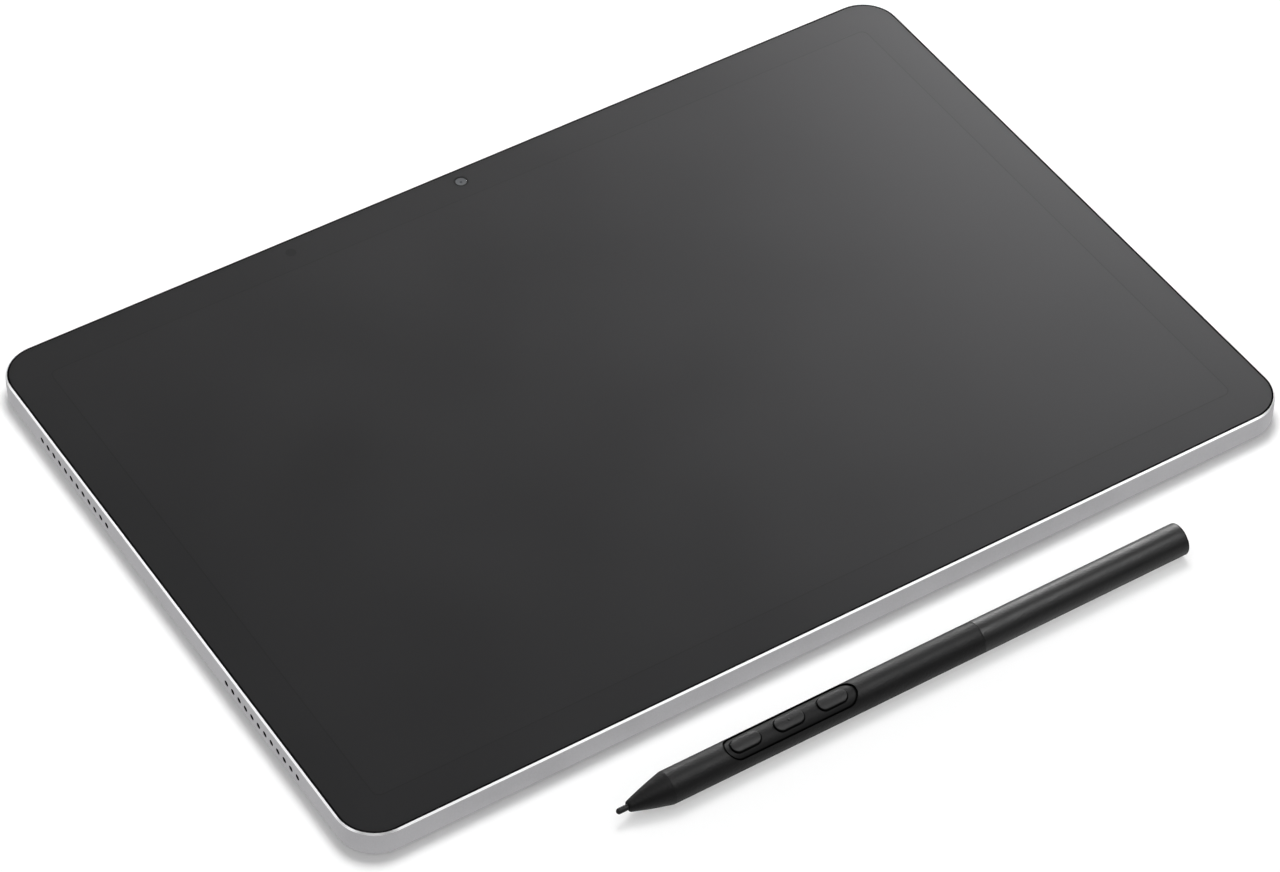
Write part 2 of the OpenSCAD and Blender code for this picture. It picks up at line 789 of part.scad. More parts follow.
module battery_board() {
  color("darkgreen") in_tablet() translate([0, cell_board_y, back_wall]) {
    linear_extrude(board_top - back_wall) square([cell_board_w, cell_board_d], center = true);
  }
}

module battery_cable() {
  to = main_board_y - main_board_d / 2 + flex_landing;
  color("orange") in_tablet() translate([-cell_flex_w / 2, cell_board_y, board_top]) {
    cube([cell_flex_w, to - cell_board_y, flex_t]);
  }
}

// Flat cable folded from under a layer's rear edge down to the main board
module folded_cable(x, width, edge, under, bond) {
  landing = main_board_y + main_board_d / 2 - flex_landing;
  color("orange") in_tablet() along_x(x - width / 2, x + width / 2) {
    translate([edge - bond, under - flex_t]) square([bond, flex_t]);
    translate([edge - flex_t, board_top]) square([flex_t, under - board_top]);
    translate([landing, board_top]) square([edge - landing, flex_t]);
  }
}

module display_cable() {
  folded_cable(display_flex_x, display_flex_w, panel_d / 2, panel_z, backlight_step - flex_t);
}

module sensor_cable() {
  folded_cable(-sensor_flex_x, sensor_flex_w, backlight_d / 2, sensor_z, shield_step - flex_t);
}

module usb_board() {
  color("darkgreen") in_tablet() screwed_board(usb_board_x, 0, usb_board_w, usb_board_d, usb_screws);
}

// Sets its children at the inner end of the socket
module in_usb() {
  translate([tablet_w / 2 - usb_recess - usb_l, 0, usb_z]) rotate([90, 0, 90]) children();
}

module usb_socket() {
  color("gainsboro") in_tablet() in_usb() linear_extrude(usb_l) difference() {
    stadium(usb_w, usb_h);
    stadium(usb_w - 2 * usb_shell, usb_h - 2 * usb_shell);
  }
}

module usb_tongue() {
  blade = usb_tongue_size;
  color([0.1, 0.1, 0.1]) in_tablet() in_usb() {
    linear_extrude(usb_back) stadium(usb_w - 2 * usb_shell, usb_h - 2 * usb_shell);
    linear_extrude(usb_back + blade.y) square([blade.x, blade.z], center = true);
  }
}

// Pair of speaker boxes along a side wall, each with its driver's rim
module speakers(side) {
  color([0.12, 0.12, 0.12]) in_tablet() for (group = [-1, 1]) {
    translate([side * (right_in - mesh_t - speaker_w / 2), sound_mid(group), back_wall]) {
      linear_extrude(room_h) square([speaker_w, speaker_l], center = true);
      translate([0, 0, room_h]) difference() {
        cylinder(d = driver_d, h = driver_h);
        translate([0, 0, -past]) cylinder(d = driver_d - 2 * driver_rim_w, h = driver_h + 2 * past);
      }
    }
  }
}

module left_speakers() {
  speakers(-1);
}

module right_speakers() {
  speakers(1);
}

module speaker_meshes() {
  length = (sound_holes - 1) * sound_pitch + mesh_h;
  color([0.1, 0.1, 0.1]) in_tablet() for (side = [-1, 1], group = [-1, 1]) {
    translate([side * (right_in - mesh_t / 2), sound_mid(group), sound_z]) rotate([90, 0, 90]) {
      linear_extrude(mesh_t, center = true) stadium(length, mesh_h);
    }
  }
}

module front_camera() {
  pit = camera_cone_h + lens_t;
  color([0.25, 0.25, 0.26]) in_tablet() translate([0, camera_y, camera_z]) difference() {
    translate([-camera_w / 2, -camera_d / 2, 0]) cube([camera_w, camera_d, camera_h]);
    translate([0, 0, camera_h - camera_cone_h]) {
      cylinder(r1 = lens_r, r2 = camera_cone_r, h = camera_cone_h);
    }
    translate([0, 0, camera_h - pit]) cylinder(r = lens_r, h = pit);
  }
}

module front_camera_lens() {
  color("midnightblue") in_tablet() translate([0, camera_y, camera_top - camera_cone_h - lens_t]) {
    cylinder(r = lens_r, h = lens_t);
  }
}

module front_camera_foam() {
  color([0.05, 0.05, 0.05]) in_tablet() translate([0, camera_y, camera_top]) difference() {
    cylinder(r = foam_r, h = foam_t);
    translate([0, 0, -past]) cylinder(r = foam_r - foam_w, h = foam_t + 2 * past);
  }
}

module light_sensor() {
  color("darkslategray") in_tablet() translate([-light_sensor_x, camera_y, 0]) {
    standing_block(light_chip, glass_z - light_chip.z);
    standing_block(light_board, glass_z - light_chip.z - light_board.z);
  }
}

module rear_camera() {
  flange_top = back_wall + rear_flange.y;
  barrel_z = rear_window_z + rear_window_t + rear_window_drop;
  color([0.12, 0.12, 0.13]) in_tablet() translate([rear_camera_x, rear_camera_y, 0]) {
    standing_block([rear_camera_side, rear_camera_side, room_h - rear_flange.y], flange_top);
    difference() {
      translate([0, 0, barrel_z]) cylinder(r = rear_barrel_r, h = flange_top - barrel_z);
      translate([0, 0, barrel_z]) cylinder(r1 = rear_cup[0], r2 = 0, h = rear_cup[1]);
    }
  }
}

module rear_camera_ring() {
  color("silver") in_tablet() translate([rear_camera_x, rear_camera_y, 0]) difference() {
    union() {
      translate([0, 0, -rear_ring_proud]) cylinder(r = rear_ring_r, h = rear_ring_proud + back_wall);
      translate([0, 0, back_wall]) cylinder(r = rear_ring_r + rear_flange.x, h = rear_flange.y);
    }
    translate([0, 0, -rear_ring_proud - past]) {
      cylinder(r = rear_bore_r, h = rear_window_z + rear_window_t + rear_ring_proud + past);
      cylinder(r = rear_bore_r - rear_ring_lip, h = back_wall + rear_ring_proud + rear_flange.y + 2 * past);
    }
  }
}

module rear_camera_window() {
  color([0.05, 0.05, 0.06]) in_tablet() translate([rear_camera_x, rear_camera_y, rear_window_z]) {
    cylinder(r = rear_bore_r, h = rear_window_t);
  }
}

module microphones() {
  color("gainsboro") in_tablet() for (side = [-1, 1]) {
    translate([side * mic_x - mic_size.x / 2, rear_in - mic_size.y, key_z - mic_size.z / 2]) cube(mic_size);
  }
}

module aerial_window() {
  color("lightgray") in_tablet() along_y(rear_in, tablet_d / 2) {
    translate([aerial_x, key_z]) stadium(aerial_l, aerial_h);
  }
}

module wifi_aerial() {
  size = [aerial_l - aerial_h - 2 * aerial_margin, aerial_h - 2 * aerial_margin];
  color("orange") in_tablet() along_y(rear_in - aerial_t, rear_in) {
    translate([aerial_x, key_z]) square(size, center = true);
  }
}

// Side key: cap through the wall, lip inside it
module side_key(x, length, lip_y) {
  color("silver") in_tablet() translate([x, 0, key_z]) {
    along_y(lip_y - key_lip_t, tablet_d / 2 + key_proud) key_outline(length, 0);
    along_y(lip_y - key_lip_t, lip_y) key_outline(length, key_lip);
    children();
  }
}

// Nub on the inner side of a side key
module key_nub(x, lip_y) {
  along_y(lip_y - key_lip_t - nub_l, lip_y - key_lip_t / 2) translate([x, 0]) circle(nub_r);
}

module power_key() {
  side_key(power_x, power_l, power_lip_y) key_nub(0, power_lip_y);
}

module volume_key() {
  side_key(volume_x, volume_l, pivot_y) {
    for (side = [-1, 1]) key_nub(side * nub_x, pivot_y);
    translate([0, pivot_y, 0]) cylinder(r = pivot_r, h = key_h + 2 * key_lip, center = true);
  }
}

module side_key_board() {
  from = power_x - power_l / 2 - key_lip;
  to = volume_x + volume_l / 2 + key_lip;
  top = key_z + switch_side / 2;
  color("darkgreen") in_tablet() translate([from, key_board_y - key_board_t, back_wall]) {
    cube([to - from, key_board_t, top - back_wall]);
  }
}

module side_key_switches() {
  color("gainsboro") in_tablet() {
    along_y(key_board_y, power_switch_y) translate([power_x, key_z]) square(switch_side, center = true);
    for (side = [-1, 1]) along_y(key_board_y, volume_switch_y) {
      translate([volume_x + side * nub_x, key_z]) square(switch_side, center = true);
    }
  }
}

module foot(side) {
  color([0.15, 0.15, 0.15]) in_tablet() translate([0, 0, -foot_proud]) {
    linear_extrude(foot_proud + foot_seat) foot_outline(side, 0);
  }
}

module foot_front() {
  foot(-1);
}

module foot_rear() {
  foot(1);
}

// Radius of the nose cone at a share of its length
function cone_r(s) = nose_r + (pen_r - nose_r) * s + 4 * cone_bulge * s * (1 - s);

module pen_nose_cone() {
  nib_bore = nib_r + nib_gap;
  room_r = core_r + coil_t + coil_gap;
  side = [for (i = [0:cone_steps]) [cone_r(i / cone_steps), nose_x + cone_l * i / cone_steps]];
  spigot_end = barrel_x + spigot_l;
  inside = [
    [inner_r, barrel_x], [inner_r, spigot_end], [room_r, spigot_end], [room_r, core_x],
    [nib_bore, core_x], [nib_bore, nose_x]
  ];
  color([0.1, 0.1, 0.1]) in_pen() along_pen(0) rotate_extrude() polygon(concat(side, inside));
}

// Prism that rises from the pen's axis through its keys
module key_prism(length, width) {
  linear_extrude(pen_d) stadium(length, width);
}

module pen_rod(radius, from, length) {
  along_pen(from) cylinder(r = radius, h = length);
}

module pen_tube(outer, inner, from, length) {
  along_pen(from) linear_extrude(length) difference() {
    circle(outer);
    circle(inner);
  }
}

// Cut in a barrel's outline that breaks its outer edge at the seam
module seam_cut() {
  translate([pen_r, 0]) rotate(45) square(seam_break * sqrt(2), center = true);
}

module pen_front_barrel() {
  color([0.1, 0.1, 0.1]) in_pen() difference() {
    along_pen(barrel_x) rotate_extrude() difference() {
      translate([bore_r, 0]) square([pen_wall, front_barrel_l]);
      translate([0, front_barrel_l]) seam_cut();
    }
    translate([plate_mid, 0, 0]) {
      difference() {
        key_prism(plate_l + 2 * plate_gap, plate_w + 2 * plate_gap);
        pen_rod(plate_r - plate_glue, -plate_l, 2 * plate_l);
      }
      key_prism(plate_l - 2 * plate_seat, plate_w - 2 * plate_seat);
    }
  }
}

module pen_key_plate() {
  color([0.12, 0.12, 0.12]) in_pen() translate([plate_mid, 0, 0]) intersection() {
    pen_tube(plate_face_r, plate_r, -plate_l, 2 * plate_l);
    difference() {
      key_prism(plate_l, plate_w);
      for (i = [-1:1]) translate([pen_key_shift + i * pen_key_pitch, 0, 0]) {
        key_prism(pen_key_l + 2 * pen_key_gap, pen_key_w + 2 * pen_key_gap);
      }
    }
  }
}

module pen_key(i) {
  color([0.12, 0.12, 0.12]) in_pen() translate([keys_mid + i * pen_key_pitch, 0, 0]) {
    intersection() {
      pen_tube(plate_face_r + pen_key_proud, lip_r, -pen_key_l, 2 * pen_key_l);
      key_prism(pen_key_l, pen_key_w);
    }
    intersection() {
      pen_tube(lip_top_r, lip_r, -pen_key_l, 2 * pen_key_l);
      key_prism(pen_key_l + 2 * pen_key_lip, pen_key_w + 2 * pen_key_lip);
    }
    translate([0, 0, plunger_z]) cylinder(r = plunger_r, h = plunger_l + pen_key_lip_t / 2);
    if (i == 0) translate([0, 0, plate_face_r]) {
      cylinder(r = key_mark[0], h = pen_key_proud + key_mark[1]);
    }
  }
}

module pen_key_lower() {
  pen_key(-1);
}

module pen_key_middle() {
  pen_key(0);
}

module pen_key_upper() {
  pen_key(1);
}

module pen_rear_barrel() {
  length = pen_l - seam_x;
  color([0.08, 0.08, 0.08]) in_pen() along_pen(seam_x) rotate_extrude() difference() {
    square([pen_r, length]);
    square([bore_r, length - tail_wall]);
    seam_cut();
    translate([pen_r - tail_r, length - tail_r]) difference() {
      square(tail_r);
      circle(tail_r);
    }
  }
}

module pen_joint_sleeve() {
  color("gray") in_pen() pen_tube(inner_r, inner_r - sleeve_wall, seam_x - sleeve_l, 2 * sleeve_l);
}

module pen_nib() {
  color([0.2, 0.2, 0.2]) in_pen() {
    translate([nib_r, 0, 0]) sphere(nib_r);
    pen_rod(nib_r, nib_r, holder_x + nib_grip - nib_r);
  }
}

module pen_nib_holder() {
  color("ivory") in_pen() difference() {
    pen_rod(holder_r, holder_x, holder_l);
    pen_rod(nib_r + pen_fit, holder_x - past, nib_grip + past);
  }
}

module pen_ferrite_core() {
  color([0.2, 0.2, 0.2]) in_pen() pen_tube(core_r, nib_r + nib_gap, core_x, core_l);
}

module pen_coil() {
  color("chocolate") in_pen() pen_tube(core_r + coil_t, core_r, core_x, coil_l);
}

module pen_pressure_sensor() {
  color("steelblue") in_pen() pen_rod(inner_r, pressure_x, pressure_l);
}

module pen_chassis() {
  color("dimgray") in_pen() intersection() {
    pen_rod(inner_r, chassis_x, chassis_l);
    translate([chassis_x, -pen_r, -pen_d + chassis_z]) cube([chassis_l, pen_d, pen_d]);
  }
}

module pen_board() {
  color("darkgreen") in_pen() translate([chassis_x, -pen_board_w / 2, chassis_z]) {
    cube([pen_board_l, pen_board_w, pen_board_t]);
  }
}

module pen_switches() {
  size = [pen_switch_size.x, pen_switch_size.y, pen_switch_top - pen_board_z];
  color("gainsboro") in_pen() for (i = [-1:1]) {
    translate([keys_mid + i * pen_key_pitch, 0, 0]) standing_block(size, pen_board_z);
  }
}

module pen_balance_weight() {
  color("goldenrod") in_pen() pen_rod(inner_r, pen_l - tail_wall - weight_l, weight_l);
}

rear_housing();
front_glass();
glass_bumper();
glass_adhesive();
display_panel();
backlight_unit();
pen_sensor_board();
shield_plate();
main_board();
processor_can();
radio_can();
board_screws();
battery_left();
battery_right();
battery_board();
battery_cable();
display_cable();
sensor_cable();
usb_board();
usb_socket();
usb_tongue();
left_speakers();
right_speakers();
speaker_meshes();
front_camera();
front_camera_lens();
front_camera_foam();
light_sensor();
rear_camera();
rear_camera_ring();
rear_camera_window();
microphones();
aerial_window();
wifi_aerial();
power_key();
volume_key();
side_key_board();
side_key_switches();
foot_front();
foot_rear();
pen_nose_cone();
pen_front_barrel();
pen_rear_barrel();
pen_joint_sleeve();
pen_key_plate();
pen_key_lower();
pen_key_middle();
pen_key_upper();
pen_nib();
pen_nib_holder();
pen_ferrite_core();
pen_coil();
pen_pressure_sensor();
pen_chassis();
pen_board();
pen_switches();
pen_balance_weight();
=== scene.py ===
"""Looks of a graphics tablet with screen and of the pen that lies in front of it."""
import json
import math

import bmesh
import bpy
from mathutils import Matrix, Vector
from mathutils.geometry import delaunay_2d_cdt

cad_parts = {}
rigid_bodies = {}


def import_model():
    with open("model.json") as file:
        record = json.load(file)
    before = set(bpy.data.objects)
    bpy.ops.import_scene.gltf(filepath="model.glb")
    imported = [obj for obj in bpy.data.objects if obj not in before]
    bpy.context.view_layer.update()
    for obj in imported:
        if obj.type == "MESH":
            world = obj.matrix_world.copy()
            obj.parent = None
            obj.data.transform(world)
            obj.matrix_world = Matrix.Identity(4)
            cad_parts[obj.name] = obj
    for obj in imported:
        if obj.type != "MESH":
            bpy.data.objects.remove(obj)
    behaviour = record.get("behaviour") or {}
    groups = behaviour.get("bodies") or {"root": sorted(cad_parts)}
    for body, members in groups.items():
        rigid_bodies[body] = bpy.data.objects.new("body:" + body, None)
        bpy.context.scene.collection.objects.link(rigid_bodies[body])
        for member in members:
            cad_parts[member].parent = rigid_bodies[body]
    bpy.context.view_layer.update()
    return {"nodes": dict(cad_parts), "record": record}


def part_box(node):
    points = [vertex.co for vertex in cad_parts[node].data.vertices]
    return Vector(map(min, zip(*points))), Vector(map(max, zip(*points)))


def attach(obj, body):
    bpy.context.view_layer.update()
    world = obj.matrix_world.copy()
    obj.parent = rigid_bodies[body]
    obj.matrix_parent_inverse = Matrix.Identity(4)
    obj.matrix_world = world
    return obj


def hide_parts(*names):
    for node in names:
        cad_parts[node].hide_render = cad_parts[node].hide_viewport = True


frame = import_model()

MM = 0.001

# Tablet, in millimetres
TABLET_Y = 11.7
BACK_Z = 0.4
FACE_Z = 7.4
GLASS_SIZE = (264.6, 180.6)
GLASS_R = 9.6
GLASS_T = 0.7
GLASS_BEVEL = 0.15
GLASS_LIP = 0.12
WINDOW_SIZE = (244.8, 160.7)
WINDOW_R = 2.0
HAIRLINE = 0.3
CAMERA = (0.0, 97.8)
CAMERA_R = 1.48
CAMERA_RIM = 1.95
CAMERA_WELL = 0.3
BEAD_R = 0.36
SENSOR = (-50.4, 97.8)
SENSOR_R = 1.4
REAR_CAMERA = (-118.0, 87.7)
WALL_Y = 102.7
KEY_Z = 3.8
KEY_H = 2.4
KEY_PROUD = 0.4
KEYS = {"power": (-104.0, 10.0), "volume": (-78.0, 20.0)}
FEET = {"front": -64.3, "rear": 87.7}
FOOT_SIZE = (200.0, 7.0)

# Painted shade inside the sound holes through the short walls, and the rim's chamfer: where each fades in and
# out, in millimetres
HOLE_SHADE_X = (129.0, 130.0, 132.9, 132.97)
HOLE_SHADE_Y = (25.0, 26.0, 69.0, 70.0)
HOLE_SHADE_Z = (2.4, 2.5, 4.2, 4.3)
CHAMFER_Z = (6.6, 6.7)
CHAMFER_SLOPE = (0.4, 0.5, 0.85, 0.95)

# Pen, in millimetres from the tip of its nib, axis along X, keys up
PEN = Matrix.Translation((-76.95, -98.95, 4.15)) @ Matrix.Rotation(math.radians(9), 4, "X")
PEN_R = 4.15
PEN_BORE = 3.11
PEN_L = 160.5
NIB_R = 0.74
NIB_BORE = 0.94
NIB_END = 24.1
CORE_X = 12.0
SPIGOT_X = 19.6
TAIL_X = 159.3
SEAM_SOFT = (0.1, 0.08)
TURNS = 72
NOSE_X = 3.1
BARREL_X = 13.6
SEAM_X = 100.2
PLATE = (47.2, 0.0)
PLATE_FACE = 3.8
PLATE_R = 3.5
LIP_R = 2.92
PLATE_SIZE = (35.4, 5.7)
PLATE_GAP = 0.46
LEDGE = 0.5
PEN_KEY_SIZE = (7.8, 3.4)
PEN_KEY_GAP = 0.27
PEN_KEYS_X = 46.7
PEN_KEY_PITCH = 12.0
PEN_KEY_PROUD = 0.5
KEY_MARK = (0.4, 0.16)
# Finish numbers of pen faces: the piece's own finish, and painted shade
SKIN, SHADED = 0, 1

# Photograph's camera: azimuth, elevation and roll in degrees, distances in metres, lens in millimetres
VIEW_ANGLES = (-33.145, 45.912, 0.862)
VIEW_DISTANCE = 1.122976
VIEW_TARGET = (-0.00999, -0.003892, 0.0074)
VIEW_LENS = 129.1107

# Studio: light of the room, and place, aim and size in metres of the key lamp and of the cards, which show
# only as reflections; a card's last number is its radiance
ROOM_LEVEL = 0.25
KEY_LAMP = ((0.2, 0.33, 1.1), (0.0, 0.0, 0.0), (0.45, 0.45))
CARDS = {
    "right_box": ((0.68, 0.52, 0.42), (0.02, 0.0, 0.0), (0.4, 0.35), 16.5),
    "back_strip": ((0.5, 1.05, 0.33), (0.0, -0.1, 0.0), (0.6, 0.15), 33.0),
    "front_high": ((0.3, -0.38, 0.84), (0.0, -0.05, 0.0), (0.45, 0.4), 10.5),
    "front_low": ((0.36, -0.68, 0.5), (0.0, 0.0, 0.0), (0.6, 0.36), 0.95),
    "right_low": ((0.36, -0.3, 0.14), (0.13, -0.08, 0.0), (0.22, 0.22), 0.4),
    "left_card": ((-0.72, 0.58, 0.4), (0.0, 0.0, 0.0), (0.5, 0.5), 1.15),
    "left_high": ((-0.96, 0.11, 0.68), (-0.13, -0.07, 0.0), (0.8, 0.4), 1.35),
    "corner_high": ((-0.75, -0.84, 1.11), (-0.13, -0.07, 0.0), (0.8, 0.45), 0.9),
}

# Range of a noise's values that is drawn out, and the pen's black
CLOUD = (0.3, 0.7)
PEN_BLACK = (0.0038, 0.0038, 0.004)


# ---------------------------------------------------------------- finishes

def new_tree(name):
    material = bpy.data.materials.new(name)
    material.use_nodes = True
    material.node_tree.nodes.clear()
    return material, material.node_tree


def add(tree, kind, values=None, **settings):
    """Adds a node. A value that is a socket is linked, any other is set."""
    made = tree.nodes.new("ShaderNode" + kind)
    for key, value in settings.items():
        setattr(made, key, value)
    for socket, value in (values or {}).items():
        if isinstance(value, bpy.types.NodeSocket):
            tree.links.new(value, made.inputs[socket])
        else:
            made.inputs[socket].default_value = value
    return made


def place_of(tree):
    return add(tree, "TexCoord").outputs["Object"]


def noise(tree, place, size, detail=2.0):
    """Cloudy pattern whose features are about this many millimetres across."""
    values = {"Vector": place, "Scale": 1000 / size, "Detail": detail}
    return add(tree, "TexNoise", values).outputs["Fac"]


def span(tree, value, low, high, to_low, to_high):
    values = {"Value": value, "From Min": low, "From Max": high, "To Min": to_low, "To Max": to_high}
    return add(tree, "MapRange", values).outputs["Result"]


def maths(tree, operation, first, second):
    return add(tree, "Math", {0: first, 1: second}, operation=operation).outputs[0]


def within(tree, value, bounds, unit=1.0):
    """1 inside four bounds: it rises between the first two and falls between the last two."""
    start, full, fade, end = (b * unit for b in bounds)
    rise = span(tree, value, start, full, 0, 1)
    return maths(tree, "MULTIPLY", rise, span(tree, value, fade, end, 1, 0))


def glancing(tree, power):
    """0 where a surface is seen face on, rising to 1 at its outline."""
    facing = add(tree, "LayerWeight", {"Blend": 0.5}).outputs["Facing"]
    return maths(tree, "POWER", facing, power)


def bands(tree, place, pitch, direction):
    """Even bands at about this many millimetres."""
    values = {"Vector": place, "Scale": 1000 / pitch / 10}
    return add(tree, "TexWave", values, wave_type="BANDS", bands_direction=direction).outputs["Fac"]


def blend(tree, share, first, second):
    """Mixes two colours, each given as a socket or as numbers."""
    made = add(tree, "Mix", {0: share}, data_type="RGBA")
    for socket, value in ((made.inputs[6], first), (made.inputs[7], second)):
        if isinstance(value, bpy.types.NodeSocket):
            tree.links.new(value, socket)
        else:
            socket.default_value = (*value, 1.0)
    return made.outputs[2]


def shades(colour, spread):
    return [tuple(c * (1 - spread) for c in colour), tuple(c * (1 + spread) for c in colour)]


def close(tree, colour, rough, height, relief, **shader):
    """Ends a tree with the surface: colour, roughness and relief from nodes, all else constant."""
    bump = add(tree, "Bump", {"Height": height, "Distance": relief * MM, "Strength": 1.0})
    values = {"Base Color": colour, "Roughness": rough, "Normal": bump.outputs["Normal"]}
    surface = add(tree, "BsdfPrincipled", values)
    for socket, value in shader.items():
        surface.inputs[socket.replace("_", " ")].default_value = value
    out = add(tree, "OutputMaterial")
    tree.links.new(surface.outputs[0], out.inputs["Surface"])
    return surface


def grained(name, colour, rough, grain, relief, tone=0.08, patch=7.0, gloss=0.04, veil=0.0, **shader):
    """Solid finish with a fine grain in relief and slow patches of tone and gloss.

    A veil dulls its shine at glancing angles.
    """
    material, tree = new_tree(name)
    place = place_of(tree)
    slow = noise(tree, place, patch)
    fine = noise(tree, place, grain)
    speckle = maths(tree, "ADD", maths(tree, "MULTIPLY", slow, 0.5), maths(tree, "MULTIPLY", fine, 0.5))
    tint = blend(tree, span(tree, speckle, *CLOUD, 0, 1), *shades(colour, tone))
    dull = span(tree, slow, *CLOUD, rough - gloss, rough + gloss)
    if veil:
        dull = maths(tree, "ADD", dull, maths(tree, "MULTIPLY", glancing(tree, 5.0), veil))
    close(tree, tint, dull, fine, relief, **shader)
    return material


def aluminium():
    """Fine blasted aluminium, cut bright on the chamfer round the rim, with painted shade making the inside
    of the sound holes dark and unreflecting.
    """
    material, tree = new_tree("blasted_aluminium")
    place = place_of(tree)
    slope = add(tree, "SeparateXYZ", {0: add(tree, "NewGeometry").outputs["True Normal"]}).outputs["Z"]
    along = add(tree, "SeparateXYZ", {0: place}).outputs
    height = along["Z"]
    low, high = (z * MM for z in CHAMFER_Z)
    cut = maths(tree, "MULTIPLY", within(tree, slope, CHAMFER_SLOPE), span(tree, height, low, high, 0, 1))
    out = maths(tree, "ABSOLUTE", along["X"], 0.0)
    side = maths(tree, "ABSOLUTE", maths(tree, "SUBTRACT", along["Y"], TABLET_Y * MM), 0.0)
    # Painted shade: inside the sound holes the colour goes nearly black and the metal stops reflecting
    hole_shade = within(tree, out, HOLE_SHADE_X, MM)
    for way, bounds in ((side, HOLE_SHADE_Y), (height, HOLE_SHADE_Z)):
        hole_shade = maths(tree, "MULTIPLY", hole_shade, within(tree, way, bounds, MM))
    slow = noise(tree, place, 9.0)
    fine = noise(tree, place, 0.22, 3.0)
    blasted = blend(tree, fine, (0.392, 0.388, 0.4), (0.498, 0.493, 0.507))
    tint = blend(tree, cut, blasted, (0.88, 0.88, 0.89))
    tint = blend(tree, hole_shade, tint, (0.006, 0.006, 0.006))
    plain = span(tree, slow, *CLOUD, 0.54, 0.6)
    rough = add(tree, "Mix", {0: cut, 2: plain, 3: 0.3}).outputs[0]
    grain = maths(tree, "MULTIPLY", fine, span(tree, cut, 0, 1, 1, 0.05))
    surface = close(tree, tint, rough, grain, 0.003, Specular_IOR_Level=0.0)
    tree.links.new(span(tree, hole_shade, 0, 1, 1, 0), surface.inputs["Metallic"])
    return material


def etched_glass(name, colour, shine=0.14):
    """Black glass with a fine anti-glare etch."""
    return grained(
        name, colour, 0.36, grain=0.08, relief=0.0006, tone=0.04, patch=30.0, gloss=0.012,
        Specular_IOR_Level=shine, Specular_Tint=(0.965, 0.96, 1.0, 1.0),
    )


def striped(name, first, second, rough, pitch, relief=0.01, gloss=0.05, **shader):
    """Bands along X at an even pitch, such as windings or traces."""
    material, tree = new_tree(name)
    place = place_of(tree)
    rows = bands(tree, place, pitch, "X")
    fine = noise(tree, place, 0.2)
    tint = blend(tree, rows, first, second)
    close(tree, tint, span(tree, fine, *CLOUD, rough - gloss, rough + gloss), rows, relief, **shader)
    return material


def board_finish():
    """Green board with tracks and pads."""
    material, tree = new_tree("circuit_board")
    place = place_of(tree)
    cells = add(tree, "TexVoronoi", {"Vector": place, "Scale": 450.0}, distance="MANHATTAN")
    tracks = span(tree, cells.outputs["Distance"], 0.3, 0.34, 0, 1)
    tint = blend(tree, tracks, (0.012, 0.075, 0.035), (0.02, 0.12, 0.055))
    close(tree, tint, span(tree, tracks, 0, 1, 0.5, 0.35), tracks, 0.02)
    return material


def woven(name, thread, gap, pitch):
    """Fine woven mesh, threads along and across."""
    material, tree = new_tree(name)
    place = place_of(tree)
    top = maths(tree, "MAXIMUM", *(bands(tree, place, pitch, way) for way in "YZ"))
    tint = blend(tree, span(tree, top, 0.5, 0.8, 0, 1), gap, thread)
    close(tree, tint, span(tree, top, 0, 1, 0.7, 0.45), top, 0.03)
    return material


